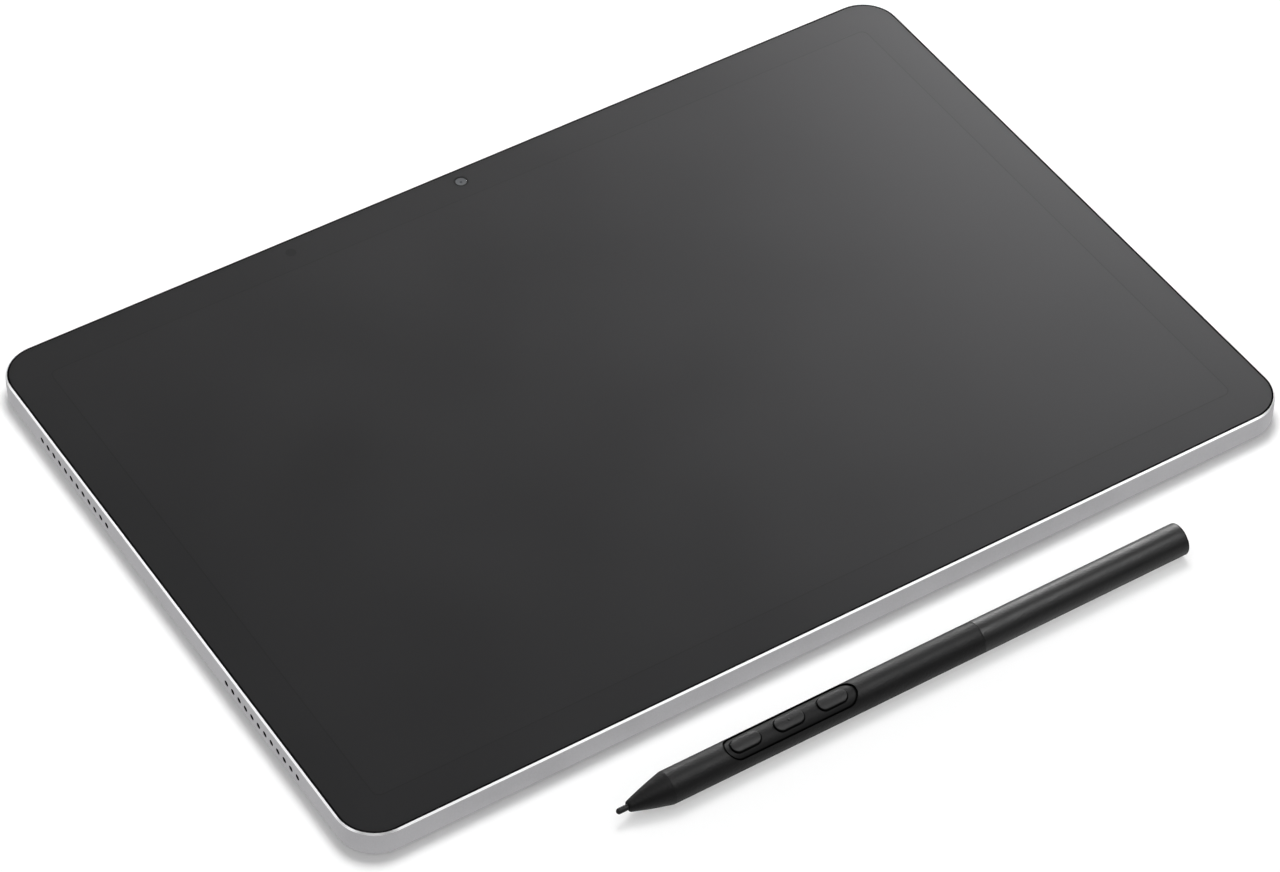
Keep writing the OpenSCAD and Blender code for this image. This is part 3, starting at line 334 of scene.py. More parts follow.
FINISHES = {
    "anodised_aluminium": aluminium(),
    "etched_black_glass": etched_glass("glass_border", (0.0082, 0.0082, 0.0085)),
    "black_bumper": grained("bumper_black", (0.004, 0.004, 0.004), 0.7, 0.2, 0.004, Specular_IOR_Level=0.0),
    "black_adhesive": grained("adhesive_black", (0.02, 0.02, 0.02), 0.8, 0.4, 0.01),
    "panel_glass": grained("panel_dark", (0.012, 0.012, 0.014), 0.2, 0.3, 0.0005),
    "light_guide": grained("guide_white", (0.8, 0.8, 0.78), 0.4, 0.5, 0.01),
    "circuit_board": board_finish(),
    "steel_sheet": grained("steel_bright", (0.55, 0.55, 0.54), 0.32, 0.3, 0.002, Metallic=1.0),
    "battery_pouch": grained("pouch_foil", (0.07, 0.07, 0.075), 0.45, 1.2, 0.03, tone=0.15),
    "flat_cable": striped("cable_amber", (0.30, 0.13, 0.02), (0.42, 0.20, 0.035), 0.4, 0.5),
    "black_plastic": grained("moulded_black", (0.014, 0.014, 0.015), 0.5, 0.15, 0.006),
    "silver_plastic": grained("painted_silver", (0.50, 0.505, 0.52), 0.42, 0.1, 0.003, Metallic=0.55),
    "lens_glass": grained(
        "lens_dark", (0.006, 0.007, 0.012), 0.06, 0.6, 0.0002, Coat_Weight=1.0, Coat_Roughness=0.03
    ),
    "grey_rubber": grained("rubber_grey", (0.055, 0.056, 0.058), 0.75, 0.25, 0.02, tone=0.12),
    "pen_soft_touch": grained(
        "soft_touch_black", PEN_BLACK, 0.48, 0.65, 0.08, tone=0.2, patch=5.0, veil=0.8,
        Specular_IOR_Level=0.17,
    ),
    "pen_satin": grained(
        "satin_black", PEN_BLACK, 0.4, 0.65, 0.06, tone=0.16, patch=8.0, veil=0.9, Specular_IOR_Level=0.27
    ),
    "pen_key_plastic": grained(
        "key_black", (0.006, 0.006, 0.0063), 0.46, 0.6, 0.06, tone=0.16, veil=0.6, Specular_IOR_Level=0.2
    ),
    "nib_plastic": grained("nib_black", (0.006, 0.006, 0.0063), 0.5, 0.12, 0.004, Specular_IOR_Level=0.22),
    "white_plastic": grained("moulded_white", (0.7, 0.7, 0.66), 0.45, 0.2, 0.004),
    "ferrite": grained("ferrite_dark", (0.035, 0.034, 0.036), 0.65, 0.25, 0.02, tone=0.2),
    "copper_wire": striped("copper_winding", (0.35, 0.12, 0.05), (0.72, 0.32, 0.17), 0.3, 0.12, Metallic=1.0),
    "ceramic": grained("ceramic_pale", (0.55, 0.53, 0.48), 0.5, 0.2, 0.006),
    "brass_rod": grained("brass_turned", (0.60, 0.43, 0.17), 0.3, 0.2, 0.003, Metallic=1.0),
}
NODE_FINISHES = {"speaker_meshes": woven("dust_mesh", (0.03, 0.03, 0.03), (0.004, 0.004, 0.004), 0.22)}

ACTIVE = etched_glass("glass_picture", (0.0092, 0.0092, 0.0095))
HAIR = etched_glass("glass_hairline", (0.0098, 0.0098, 0.01), 0.092)
SPOT = etched_glass("glass_sensor_spot", (0.005, 0.005, 0.0054), 0.115)
BEVEL = grained("glass_ground_edge", (0.004, 0.004, 0.0042), 0.55, 0.05, 0.001, Specular_IOR_Level=0.0)
RING = grained("glass_camera_ring", (0.011, 0.011, 0.0112), 0.5, 0.08, 0.0006, Specular_IOR_Level=0.02)
CUP_DARK = grained("camera_cup_dark", (0.008, 0.008, 0.009), 0.4, 0.1, 0.003)
CUP_GREY = grained("camera_cup_grey", (0.115, 0.115, 0.116), 0.5, 0.1, 0.002, Specular_IOR_Level=0.2)
BEAD = grained("camera_bead", (0.05, 0.05, 0.055), 0.15, 0.2, 0.0004)
# Painted shade: near-black, barely reflecting finish put on recess walls, key sides and the pen's tail
# rounding
SHADE_BLACK = grained("painted_shade_black", (0.0022, 0.0022, 0.0023), 0.75, 0.2, 0.004, Specular_IOR_Level=0.06)
PANEL = grained(
    "panel_black", (0.004, 0.004, 0.0042), 0.56, 0.65, 0.05, tone=0.16, veil=0.6, Specular_IOR_Level=0.14
)
GOLD = grained("gold_contact", (0.85, 0.62, 0.25), 0.25, 0.1, 0.001, Metallic=1.0)


def clear_pane():
    """Thin clear pane: it lets light through and keeps a polished reflection."""
    material, tree = new_tree("clear_pane")
    shine = span(tree, glancing(tree, 4.0), 0, 1, 0.03, 0.7)
    smear = noise(tree, place_of(tree), 0.8)
    gloss = add(tree, "BsdfGlossy", {"Roughness": span(tree, smear, *CLOUD, 0.02, 0.05)})
    clear = add(tree, "BsdfTransparent", {"Color": (0.93, 0.94, 0.95, 1.0)})
    mixed = add(tree, "MixShader", {0: shine, 1: clear.outputs[0], 2: gloss.outputs[0]})
    out = add(tree, "OutputMaterial")
    tree.links.new(mixed.outputs[0], out.inputs["Surface"])
    return material


PANE = clear_pane()


# ---------------------------------------------------------------- mesh tools

class Shape:
    """Points in millimetres, and faces with the number of their finish."""

    def __init__(self):
        self.points, self.faces, self.finish = [], [], []

    def ring(self, points):
        start = len(self.points)
        self.points += [tuple(p) for p in points]
        return list(range(start, len(self.points)))

    def face(self, corners, finish=0):
        self.faces.append(tuple(corners))
        self.finish.append(finish)

    def loft(self, rings, finish=0, start=False, end=False):
        """Skins rings of equal count; start and end close the first and the last."""
        made = [self.ring(r) for r in rings]
        for low, high in zip(made, made[1:]):
            for i, here in enumerate(low):
                after = (i + 1) % len(low)
                self.face((here, low[after], high[after], high[i]), finish)
        if start:
            self.face(reversed(made[0]), finish)
        if end:
            self.face(made[-1], finish)

    def lathe(self, profile, finish=0, count=96):
        """Turns (radius, along X) points about the X axis. A radius of 0 closes the shape there."""
        self.loft(
            [
                [
                    (x, r * math.cos(2 * math.pi * i / count), r * math.sin(2 * math.pi * i / count))
                    for i in range(count)
                ]
                for r, x in profile
            ],
            finish,
        )

    def fill(self, outlines, inner, finish_at, raise_to):
        """Triangles between plane outlines. finish_at(x, y) is None in an opening."""
        flat, edges = [], []
        for outline in outlines:
            start, count = len(flat), len(outline)
            flat += outline
            edges += [(start + i, start + (i + 1) % count) for i in range(count)]
        flat += inner
        found = delaunay_2d_cdt([Vector(p) for p in flat], edges, [], 0, 1e-5)
        corners = self.ring([raise_to(p.x, p.y) for p in found[0]])
        for face in found[2]:
            x = sum(found[0][i].x for i in face) / len(face)
            y = sum(found[0][i].y for i in face) / len(face)
            finish = finish_at(x, y)
            if finish is not None:
                self.face([corners[i] for i in face], finish)


def arc(centre, radius, start, turn, steps):
    return [
        (
            centre[0] + radius * math.cos(math.radians(start + turn * i / steps)),
            centre[1] + radius * math.sin(math.radians(start + turn * i / steps)),
        )
        for i in range(steps + 1)
    ]


def rounded_rect(size, radius, grow=0.0, centre=(0.0, 0.0), steps=16):
    """Outline with round corners, drawn out by grow."""
    across, deep = size[0] / 2 - radius, size[1] / 2 - radius
    outline = []
    for i, (x, y) in enumerate(((1, 1), (-1, 1), (-1, -1), (1, -1))):
        corner = (centre[0] + x * across, centre[1] + y * deep)
        outline += arc(corner, radius + grow, 90 * i, 90, steps)
    return outline


def stadium(size, grow=0.0, centre=(0.0, 0.0), steps=20, sides=24):
    """Outline with two round ends, drawn out by grow, with points along its sides."""
    half, radius = (size[0] - size[1]) / 2, size[1] / 2 + grow
    outline = []
    for end, start in ((1, -90), (-1, 90)):
        outline += arc((centre[0] + end * half, centre[1]), radius, start, 180, steps)
        for i in range(1, sides):
            outline.append((centre[0] + end * half * (1 - 2 * i / sides), centre[1] + end * radius))
    return outline


def circle(centre, radius, steps=40):
    return arc(centre, radius, 0, 360 * (1 - 1 / steps), steps - 1)


def in_stadium(x, y, size, grow=0.0, centre=(0.0, 0.0)):
    half = (size[0] - size[1]) / 2
    dx = max(abs(x - centre[0]) - half, 0.0)
    return math.hypot(dx, y - centre[1]) < size[1] / 2 + grow


def in_rect(x, y, size, radius, centre):
    dx = abs(x - centre[0]) - size[0] / 2 + radius
    dy = abs(y - centre[1]) - size[1] / 2 + radius
    return math.hypot(max(dx, 0), max(dy, 0)) + min(max(dx, dy), 0) < radius


def quarter(steps):
    """Angles of a quarter turn, both ends included."""
    return [math.pi / 2 * i / steps for i in range(steps + 1)]


def rounding(radius, steps=5):
    """(inset, drop) of a quarter round, from the side up to the face."""
    return [(radius * (1 - math.cos(a)), radius * (1 - math.sin(a))) for a in quarter(steps)]


def piece(name, shape, body, finishes, nodes=(), place=None, sharp=40):
    """Makes a mesh object that rides on a body and stands for the named nodes."""
    place = place or Matrix()
    data = bpy.data.meshes.new(name)
    data.from_pydata([(place @ Vector(p)) * MM for p in shape.points], [], shape.faces)
    for finish in finishes:
        data.materials.append(finish)
    data.polygons.foreach_set("material_index", shape.finish)
    work = bmesh.new()
    work.from_mesh(data)
    bmesh.ops.remove_doubles(work, verts=work.verts, dist=2e-7)
    bmesh.ops.delete(work, geom=[v for v in work.verts if not v.link_faces], context="VERTS")
    bmesh.ops.recalc_face_normals(work, faces=work.faces)
    work.to_mesh(data)
    work.free()
    data.polygons.foreach_set("use_smooth", [True] * len(data.polygons))
    data.set_sharp_from_angle(angle=math.radians(sharp))
    made = bpy.data.objects.new(name, data)
    bpy.context.scene.collection.objects.link(made)
    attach(made, body)
    if nodes:
        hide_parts(*nodes)


# ---------------------------------------------------------------- tablet

def glass_face():
    """Cover glass: ground edge, black border, hairline, picture area and the sensor's spot."""
    shape = Shape()
    middle = (0.0, TABLET_Y)
    border, picture, hairline, ground, spot, rim = range(6)

    def edge(inset, z):
        return [(x, y, z) for x, y in rounded_rect(GLASS_SIZE, GLASS_R, -inset, middle)]

    turned = [edge(inset, FACE_Z - drop) for inset, drop in rounding(GLASS_BEVEL)]
    shape.loft([edge(0, FACE_Z - GLASS_T)] + turned, ground, start=True)
    lip = GLASS_BEVEL + GLASS_LIP
    inner_size = tuple(s - 2 * HAIRLINE for s in WINDOW_SIZE)
    inner_r = WINDOW_R - HAIRLINE / 2
    outlines = [
        rounded_rect(GLASS_SIZE, GLASS_R, -GLASS_BEVEL, middle),
        rounded_rect(GLASS_SIZE, GLASS_R, -lip, middle),
        rounded_rect(WINDOW_SIZE, WINDOW_R, 0, middle),
        rounded_rect(inner_size, inner_r, 0, middle),
        circle(CAMERA, CAMERA_R),
        circle(CAMERA, CAMERA_RIM),
        circle(SENSOR, SENSOR_R),
    ]

    def finish_at(x, y):
        from_camera = math.hypot(x - CAMERA[0], y - CAMERA[1])
        if from_camera < CAMERA_RIM:
            return None if from_camera < CAMERA_R else rim
        if math.hypot(x - SENSOR[0], y - SENSOR[1]) < SENSOR_R:
            return spot
        if in_rect(x, y, inner_size, inner_r, middle):
            return picture
        if in_rect(x, y, WINDOW_SIZE, WINDOW_R, middle):
            return hairline
        if in_rect(x, y, tuple(s - 2 * lip for s in GLASS_SIZE), GLASS_R - lip, middle):
            return border
        return ground if in_rect(x, y, GLASS_SIZE, GLASS_R, middle) else None

    shape.fill(outlines, [], finish_at, lambda x, y: (x, y, FACE_Z))
    well = [[(x, y, z) for x, y in circle(CAMERA, CAMERA_R)] for z in (FACE_Z, FACE_Z - CAMERA_WELL)]
    shape.loft(well, rim, end=True)
    finishes = [FINISHES["etched_black_glass"], ACTIVE, HAIR, BEVEL, SPOT, RING]
    piece("cover_glass", shape, "tablet", finishes, ["front_glass"], sharp=25)


def turned_up(x, y, z):
    """Places what is turned about X at a point of the tablet, with X up."""
    return Matrix.Translation((x, y, z)) @ Matrix.Rotation(math.radians(-90), 4, "Y")


def front_camera():
    """Camera behind the glass: dark rim, pale cone, barrel and lens, under a clear pane."""
    place = turned_up(*CAMERA, FACE_Z)
    cup = Shape()
    wall, rim = CAMERA_R - 0.02, (CAMERA_R - 0.04, -0.1)
    cup.lathe([(0.0, -0.295), (wall, -0.295), (wall, -0.12), rim], 0)
    cone = [(CAMERA_R - 0.08, -0.09), (0.8, -0.2), (0.7, -0.22), (0.66, -0.26), (0.0, -0.27)]
    cup.lathe([rim] + cone, 1)
    piece("front_camera_cup", cup, "tablet", [CUP_DARK, CUP_GREY], place=place)
    lens = Shape()
    dome = [(BEAD_R * math.cos(a), -0.262 + 0.03 * math.sin(a)) for a in quarter(8)[:-1]]
    lens.lathe([(0.0, -0.275), (BEAD_R, -0.275)] + dome + [(0.0, -0.232)], 0, 48)
    piece("front_camera_bead", lens, "tablet", [BEAD], place=place)
    pane = Shape()
    edge = [(CAMERA_R - 0.005, -0.012), (wall, 0.0), (CAMERA_R - 0.05, 0.0)]
    pane.lathe([(0.0, -0.012)] + edge + [(0.0, 0.0)], 0, 64)
    piece("front_camera_pane", pane, "tablet", [PANE], place=place)


def side_key(name, nubs, rocks):
    """Side key with a softly rounded cap, its lip inside the wall, its nubs and the rib that it rocks on."""
    x, length = KEYS[name]
    outer, inner = WALL_Y + KEY_PROUD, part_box(name + "_key")[0].y / MM
    lip, lip_end = inner + 0.4, inner + 0.9
    shape = Shape()

    def ring(grow, y):
        return [(x + u, y, KEY_Z + v) for u, v in stadium((length, KEY_H), grow)]

    flange = [ring(0.75, lip), ring(0.8, lip + 0.05), ring(0.8, lip_end - 0.05), ring(0.75, lip_end)]
    flange.append(ring(0, lip_end))
    cap = [ring(-inset, outer - drop) for inset, drop in rounding(0.28, 6)]
    dish = [ring(-0.5, outer - 0.012), ring(-0.85, outer - 0.04)]
    shape.loft(flange + cap + dish, 0, start=True, end=True)
    for nub in nubs:
        turned = [(0.8, lip + 0.02), (0.8, inner + 0.05), (0.75, inner)]
        rings = [[(x + nub + u, y, KEY_Z + v) for u, v in circle((0.0, 0.0), r, 32)] for r, y in turned]
        shape.loft(rings, 0, start=True, end=True)
    if rocks:
        rib = circle((x, lip_end), 0.35, 24)
        shape.loft([[(u, v, KEY_Z + z) for u, v in rib] for z in (-1.98, 1.98)], 0, start=True, end=True)
    slot, key = "anodised_aluminium", name + "_key"
    piece(name + "_button", shape, key, [FINISHES[slot]], [key])


def foot(name):
    """Rubber strip with a rounded rim, set in its groove."""
    shape = Shape()
    y = FEET[name]

    def ring(inset, z):
        return [(u, v, z) for u, v in stadium(FOOT_SIZE, -inset, (0.0, y), sides=60)]

    rim = [ring(inset, drop) for inset, drop in rounding(0.25)]
    pad = [ring(0.9, 0.0), ring(1.0, 0.06), ring(1.25, 0.06), ring(1.35, 0.0)]
    shape.loft([ring(0, 0.8)] + rim + pad, 0, start=True, end=True)
    piece("rubber_strip_" + name, shape, "tablet", [FINISHES["grey_rubber"]], ["foot_" + name])


def rear_camera():
    """Ring with bright chamfers, window, and the lens behind it, looking down from the back."""
    place = Matrix.Translation((*REAR_CAMERA, BACK_Z)) @ Matrix.Rotation(math.radians(90), 4, "Y")
    ring = Shape()
    flange = [(2.6, -1.3), (4.8, -1.3), (4.8, -1.0), (3.98, -1.0)]
    rim = [(3.98, 0.15), (3.9, 0.23), (3.82, 0.25), (3.22, 0.25), (3.12, 0.15), (3.1, 0.1)]
    ring.lathe(flange + rim + [(3.1, -0.35), (2.6, -0.35), (2.6, -1.3)])
    slot = "anodised_aluminium"
    piece("rear_lens_ring", ring, "tablet", [FINISHES[slot]], ["rear_camera_ring"], place)
    window = Shape()
    window.lathe([(0.0, -0.35), (3.09, -0.35), (3.09, 0.08), (3.03, 0.14), (1.9, 0.15)], 0)
    window.lathe([(1.9, 0.15), (1.9, 0.1), (1.75, 0.02), (1.2, -0.12), (1.15, -0.14)], 1)
    window.lathe([(1.15, -0.14), (1.1, -0.2), (0.95, -0.22)], 0)
    lens = [(0.95 * math.cos(a), -0.22 + 0.22 * math.sin(a)) for a in quarter(8)[:-1]]
    window.lathe(lens + [(0.0, 0.0)], 2)
    black = grained(
        "window_print", (0.004, 0.004, 0.005), 0.12, 0.3, 0.0003, Coat_Weight=0.6, Coat_Roughness=0.05
    )
    piece(
        "rear_lens_window", window, "tablet", [black, CUP_DARK, FINISHES["lens_glass"]],
        ["rear_camera_window"], place,
    )


def usb_contacts():
    """Rows of gilt contacts on both faces of the socket's tongue."""
    low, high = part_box("usb_tongue")
    tip, mid_z = high.x / MM, (low.z + high.z) / 2 / MM
    shape = Shape()
    count, pitch, long, wide = 12, 0.5, 3.2, 0.26

    def ring(inset, y, z):
        size = (long - 2 * inset, wide - 2 * inset)
        return [(u, v, z) for u, v in rounded_rect(size, 0.04, 0, (tip - 2.1, y), 3)]

    for row in range(count):
        y = TABLET_Y + (row - (count - 1) / 2) * pitch
        for side in (-1, 1):
            face = mid_z + side * 0.35
            steps = ((0, -0.02), (0, 0.01), (0.02, 0.02))
            shape.loft([ring(inset, y, face + side * rise) for inset, rise in steps], 0, end=True)
    piece("usb_contacts", shape, "tablet", [GOLD])


# ---------------------------------------------------------------- pen

def on_pen(x, y, radius):
    """Point over plan place (x, y) on a cylinder about the pen's axis."""
    return (x, y, math.sqrt(max(radius * radius - y * y, 0.0)))


def pen_piece(name, shape, body, slot, nodes, sharp=35, finish=None):
    # The second finish of every pen piece is painted shade
    piece(name, shape, body, [finish or FINISHES[slot], SHADE_BLACK], nodes, PEN, sharp)


def pen_nose():
    """Nose cone with a gentle bulge, its spigot in the barrel and the room for the coil."""
    shape = Shape()
    mouth = [(NIB_BORE, CORE_X), (0.96, NOSE_X + 0.3), (0.98, NOSE_X + 0.04), (1.03, NOSE_X), (1.14, NOSE_X)]
    side = [(1.24, NOSE_X + 0.06)]
    for i in range(1, 40):
        share = i / 40
        radius = 1.3 + (PEN_R - 1.3) * share + 0.48 * share * (1 - share)
        side.append((radius, NOSE_X + (BARREL_X - NOSE_X) * share))
    side += [(PEN_R - 0.012, BARREL_X - 0.02), (PEN_R - 0.05, BARREL_X)]
    spigot = [(3.06, BARREL_X), (3.06, SPIGOT_X - 0.1), (2.96, SPIGOT_X), (2.65, SPIGOT_X), (2.65, CORE_X)]
    shape.lathe(mouth + side + spigot + [(NIB_BORE, CORE_X)])
    pen_piece("pen_nose", shape, "pen", "pen_soft_touch", ["pen_nose_cone"], 30)


def pen_nib():
    """Nib with a round tip, held in the pen by its rod."""
    shape = Shape()
    tip = [(NIB_R * math.sin(a), NIB_R * (1 - math.cos(a))) for a in quarter(12)]
    shape.lathe(tip + [(NIB_R, NIB_END - 0.1), (NIB_R - 0.04, NIB_END), (0.0, NIB_END)], 0, 64)
    pen_piece("pen_tip", shape, "pen_nib", "nib_plastic", ["pen_nib"])


def pierced_tube(shape, radius, start, end, grow):
    """Skin of the front barrel at a radius, with the key plate's opening, drawn out by grow, through it."""
    half = math.pi * radius
    across = [half * (2 * i / TURNS - 1) for i in range(TURNS + 1)]
    along = [start + (end - start) * i / 60 for i in range(1, 60)]
    border = [(start, s) for s in across] + [(x, half) for x in along]
    border += [(end, s) for s in reversed(across)] + [(x, -half) for x in reversed(along)]
    opening = [(x, radius * math.asin(y / radius)) for x, y in stadium(PLATE_SIZE, grow, PLATE, 28, 56)]

    def is_open(x, s, margin=0.0):
        y = radius * math.sin(s / radius)
        return abs(s) < half / 2 and in_stadium(x, y, PLATE_SIZE, grow + margin, PLATE)

    shape.fill(
        [border, opening],
        [(x, s) for x in along for s in across[1:-1] if not is_open(x, s, 0.25)],
        lambda x, s: None if is_open(x, s) else SKIN,
        lambda x, s: (x, radius * math.sin(s / radius), radius * math.cos(s / radius)),
    )


def pen_front_barrel():
    """Barrel with the key plate's recess and ledge, its edges softened."""
    shape = Shape()
    start, end = BARREL_X + 0.06, SEAM_X - SEAM_SOFT[0]
    edge = PLATE_GAP + 0.06
    pierced_tube(shape, PEN_R, start, end, edge)
    pierced_tube(shape, PEN_BORE, BARREL_X, SEAM_X, -LEDGE)
    soft = [(edge - inset, drop) for inset, drop in rounding(0.06, 3)[::-1]]
    seat = [soft[-1], (PLATE_GAP, 0.7), (-LEDGE, 0.7), (-LEDGE, PEN_R - PEN_BORE)]
    # The recess's wall and ledge get painted shade; the softened edge keeps the barrel's finish
    for finish, steps in ((SKIN, soft), (SHADED, seat)):
        rings = [
            [on_pen(x, y, PEN_R - drop) for x, y in stadium(PLATE_SIZE, grow, PLATE, 28, 56)]
            for grow, drop in steps
        ]
        shape.loft(rings, finish)
    shape.lathe([(PEN_R, start), (PEN_R - 0.05, BARREL_X), (PEN_BORE, BARREL_X)], SKIN, TURNS)
    shape.lathe([(PEN_R, end), (PEN_R - SEAM_SOFT[1], SEAM_X), (PEN_BORE, SEAM_X)], SKIN, TURNS)
    pen_piece("pen_grip", shape, "pen", "pen_soft_touch", ["pen_front_barrel"])


def pen_rear_barrel():
    """Rear barrel with a broken edge at the seam and a rounded, slightly dished tail whose rounding is dark
    with painted shade.
    """
    shape = Shape()
    inside = [(0.0, TAIL_X), (PEN_BORE, TAIL_X), (PEN_BORE, SEAM_X)]
    seam = [(PEN_R - SEAM_SOFT[1], SEAM_X), (PEN_R, SEAM_X + SEAM_SOFT[0])]
    side = [(PEN_R, SEAM_X + 59.0 * i / 30) for i in range(1, 31)]
    tail = [(PEN_R - inset, PEN_L - drop) for inset, drop in rounding(0.5, 8)]
    dish = [(3.2, PEN_L), (3.0, PEN_L - 0.03), (0.0, PEN_L - 0.04)]
    # The tail's rounding gets painted shade in place of its reflection
    for finish, profile in ((SKIN, inside + seam + side + tail[:1]), (SHADED, tail), (SKIN, tail[-1:] + dish)):
        shape.lathe(profile, finish, 120)
    pen_piece("pen_body", shape, "pen", "pen_satin", ["pen_rear_barrel"])


def pen_plate():
    """Key plate that follows the barrel, its outer edge and key openings softened."""
    shape = Shape()
    soft, opened = 0.08, 0.05
    keys = [(PEN_KEYS_X + i * PEN_KEY_PITCH, 0.0) for i in (-1, 0, 1)]
    dots = [(PLATE[0] - 18 + 0.5 * i, -2.8 + 0.4 * j) for i in range(73) for j in range(15)]

    def skin(radius, inset, grow):
        """Face of the plate at a radius, between its outline and its key openings."""

        def finish_at(x, y, margin=0.0):
            if any(in_stadium(x, y, PEN_KEY_SIZE, grow + margin, key) for key in keys):
                return None
            return SKIN if in_stadium(x, y, PLATE_SIZE, -inset - margin, PLATE) else None

        outlines = [stadium(PLATE_SIZE, -inset, PLATE, 28, 72)]
        outlines += [stadium(PEN_KEY_SIZE, grow, key, 16, 10) for key in keys]
        inner = [dot for dot in dots if finish_at(*dot, 0.11) == SKIN]
        shape.fill(outlines, inner, finish_at, lambda x, y: on_pen(x, y, radius))

    def wall(size, centre, grow, edge, counts):
        """Softened edge at the plate's face, then the wall down to its underside, dark with painted shade."""
        foot_step = (0.0, PLATE_FACE - PLATE_R)
        # The wall below the softened edge gets painted shade
        for finish, steps in ((SKIN, edge), (SHADED, [edge[-1], foot_step])):
            rings = [
                [on_pen(x, y, PLATE_FACE - drop) for x, y in stadium(size, grow(inset), centre, *counts)]
                for inset, drop in steps
            ]
            shape.loft(rings, finish)

    skin(PLATE_FACE, soft, PEN_KEY_GAP + opened)
    skin(PLATE_R, 0.0, PEN_KEY_GAP)
    wall(PLATE_SIZE, PLATE, lambda i: -i, rounding(soft)[::-1], (28, 72))
    for key in keys:
        wall(PEN_KEY_SIZE, key, lambda i: PEN_KEY_GAP + i, rounding(opened, 4)[::-1], (16, 10))
    pen_piece("pen_panel", shape, "pen", "pen_satin", ["pen_key_plate"], finish=PANEL)


def pen_key(name, step, marked):
    """Pen key: a crowned cap with rounded edges, its lip and plunger, and a small mark if marked."""
    shape = Shape()
    centre = (PEN_KEYS_X + step * PEN_KEY_PITCH, 0.0)
    top = PLATE_FACE + PEN_KEY_PROUD
    flange, flange_top = 0.5, LIP_R + 0.5
    plunger_r, plunger_l = 0.8, 0.9
    crown_insets = (0.5, 0.8, 1.1, 1.4, 1.62)

    def outline(grow):
        return stadium(PEN_KEY_SIZE, grow, centre, 20, 16)

    def ring(grow, radius):
        return [on_pen(x, y, radius) for x, y in outline(grow)]

    lip = [ring(flange, LIP_R), ring(flange, flange_top - 0.03), ring(flange - 0.03, flange_top)]
    lip.append(ring(0, flange_top))
    cap = [ring(-inset, top - drop) for inset, drop in rounding(0.12, 4)]
    crown = [ring(-inset, top) for inset in crown_insets]
    middle = [on_pen(x, 0.0, top) for x, _ in outline(-crown_insets[-1])]
    # Painted shade on the key's lip and its side walls up to the cap's rounding
    shape.loft(lip + [cap[0]], SHADED)
    shape.loft(cap + crown + [middle], SKIN)
    foot_ring = circle(centre, plunger_r, 32)

    def underside_at(x, y):
        outside = math.hypot(x - centre[0], y) > plunger_r
        return SKIN if outside and in_stadium(x, y, PEN_KEY_SIZE, flange, centre) else None

    shape.fill([outline(flange), foot_ring], [], underside_at, lambda x, y: on_pen(x, y, LIP_R))
    plunger = [[on_pen(x, y, LIP_R) for x, y in foot_ring], [(x, y, LIP_R - plunger_l) for x, y in foot_ring]]
    shape.loft(plunger, SKIN, end=True)
    if marked:
        wide, high = KEY_MARK
        dome = [(wide * math.cos(a), high * math.sin(a)) for a in quarter(6)[:-1]]
        rings = [
            [on_pen(centre[0] + u, v, top + h) for u, v in circle((0.0, 0.0), r, 24)]
            for r, h in [(wide, -0.05)] + dome
        ]
        shape.loft(rings, start=True, end=True)
    pen_piece("pen_button_" + name, shape, "pen_key_" + name, "pen_key_plastic", ["pen_key_" + name], 50)


# ---------------------------------------------------------------- studio

def add_camera():
    """Camera set from the photograph's glass edges."""
    azimuth, elevation, roll = (math.radians(a) for a in VIEW_ANGLES)
    level = math.cos(elevation)
    back = Vector((math.sin(azimuth) * level, -math.cos(azimuth) * level, math.sin(elevation)))
    right = Vector((math.cos(azimuth), math.sin(azimuth), 0.0))
    up = back.cross(right)
    rolled_right = math.cos(roll) * right + math.sin(roll) * up
    rolled_up = math.cos(roll) * up - math.sin(roll) * right
    turned = Matrix((rolled_right, rolled_up, back)).transposed().to_4x4()
    data = bpy.data.cameras.new("camera")
    data.sensor_fit = "HORIZONTAL"
    data.sensor_width = 36.0
    data.lens = VIEW_LENS
    data.clip_start, data.clip_end = 0.01, 60.0
    made = bpy.data.objects.new("camera", data)
    made.matrix_world = Matrix.Translation(Vector(VIEW_TARGET) + back * VIEW_DISTANCE) @ turned
    bpy.context.scene.collection.objects.link(made)
    bpy.context.scene.camera = made


def add_lamp(name, place, aim, size, radiance, diffuse=True, glossy=True):
    """Soft box facing aim. It lights surfaces if diffuse and shows in reflections if glossy."""
    data = bpy.data.lights.new(name, "AREA")
    data.shape = "RECTANGLE"
    data.size, data.size_y = size
    data.energy = radiance * math.pi * size[0] * size[1]
    made = bpy.data.objects.new(name, data)
    made.location = place
    made.rotation_euler = (Vector(aim) - Vector(place)).to_track_quat("-Z", "Y").to_euler()
    made.visible_diffuse, made.visible_glossy = diffuse, glossy
    bpy.context.scene.collection.objects.link(made)
    return made


def keep_shadow_light(lamp):
    """Leaves the pen out of this lamp's shadows."""
    pen = bpy.data.collections.new("pen_shadow")
    for item in bpy.data.objects:
        if item.name.startswith("pen_") and item.name != "pen_sensor_board":
            pen.objects.link(item)
    for item in pen.collection_objects:
        item.light_linking.link_state = "EXCLUDE"
    lamp.light_linking.blocker_collection = pen


def add_world():
    """Evenly lit room, white where the camera looks at it."""
    world = bpy.data.worlds.new("room")
    bpy.context.scene.world = world
    world.use_nodes = True
    tree = world.node_tree
    tree.nodes.clear()
    seen = add(tree, "LightPath").outputs["Is Camera Ray"]
    strength = span(tree, seen, 0, 1, ROOM_LEVEL, 1.0)
    sky = add(tree, "Background", {"Color": (1.0, 1.0, 1.0, 1.0), "Strength": strength})
    out = add(tree, "OutputWorld")
    tree.links.new(sky.outputs[0], out.inputs["Surface"])


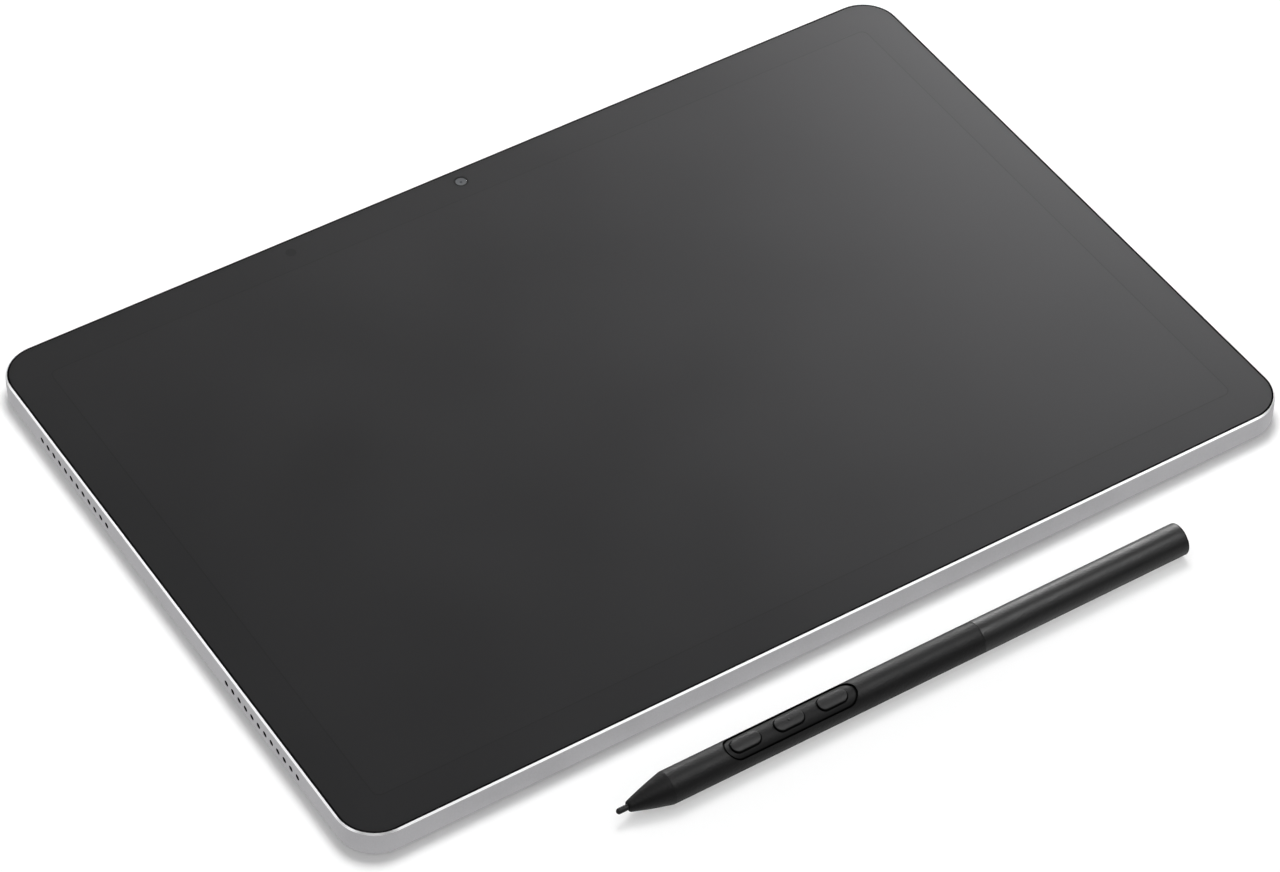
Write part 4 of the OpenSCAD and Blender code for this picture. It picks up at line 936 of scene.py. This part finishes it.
def add_floor():
    """White sweep that keeps the object's shadow."""
    material, tree = new_tree("floor_white")
    place = place_of(tree)
    away = add(tree, "VectorMath", {0: place}, operation="LENGTH").outputs["Value"]
    path = add(tree, "LightPath")
    mirrored = maths(tree, "MAXIMUM", path.outputs["Is Glossy Ray"], path.outputs["Is Transmission Ray"])
    glow = maths(tree, "MULTIPLY", path.outputs["Is Camera Ray"], span(tree, away, 0.1, 1.2, 0.02, 0.8))
    paper = add(tree, "BsdfDiffuse", {"Color": (0.93, 0.93, 0.93, 1.0)})
    fill = add(tree, "Emission", {"Color": (1.0, 1.0, 1.0, 1.0), "Strength": glow})
    both = add(tree, "AddShader", {0: paper.outputs[0], 1: fill.outputs[0]})
    white = add(tree, "Emission", {"Color": (1.0, 1.0, 1.0, 1.0), "Strength": 1.0})
    shown = add(tree, "MixShader", {0: mirrored, 1: both.outputs[0], 2: white.outputs[0]})
    out = add(tree, "OutputMaterial")
    tree.links.new(shown.outputs[0], out.inputs["Surface"])
    data = bpy.data.meshes.new("floor")
    half, z = 12.0, -0.02 * MM
    corners = [(x * half, y * half, z) for x, y in ((-1, -1), (1, -1), (1, 1), (-1, 1))]
    data.from_pydata(corners, [], [(0, 1, 2, 3)])
    data.materials.append(material)
    made = bpy.data.objects.new("floor", data)
    bpy.context.scene.collection.objects.link(made)


def dress_nodes():
    """Gives every CAD node the finish of its material slot."""
    for part in frame["record"]["subparts"]:
        node = frame["nodes"][part["node"]]
        finish = NODE_FINISHES.get(part["node"], FINISHES[part["material_slot"]])
        for slot in node.material_slots:
            slot.material = finish
        if not node.material_slots:
            node.data.materials.append(finish)


bpy.context.scene.view_settings.view_transform = "Standard"
add_camera()
dress_nodes()

glass_face()
front_camera()
side_key("power", [0.0], False)
side_key("volume", [-7.0, 7.0], True)
for strip in FEET:
    foot(strip)
rear_camera()
usb_contacts()

pen_nose()
pen_nib()
pen_front_barrel()
pen_rear_barrel()
pen_plate()
pen_key("lower", -1, False)
pen_key("middle", 0, True)
pen_key("upper", 1, False)

add_world()
add_floor()
add_lamp("top_box", (-0.12, -0.1, 1.0), (-0.12, -0.1, 0.0), (0.9, 0.9), 0.9)
add_lamp("key_box", *KEY_LAMP, 6.1, glossy=False)
keep_shadow_light(add_lamp("key_soft", *KEY_LAMP, 10.3, glossy=False))
for card, setting in CARDS.items():
    add_lamp(card, *setting, diffuse=False)
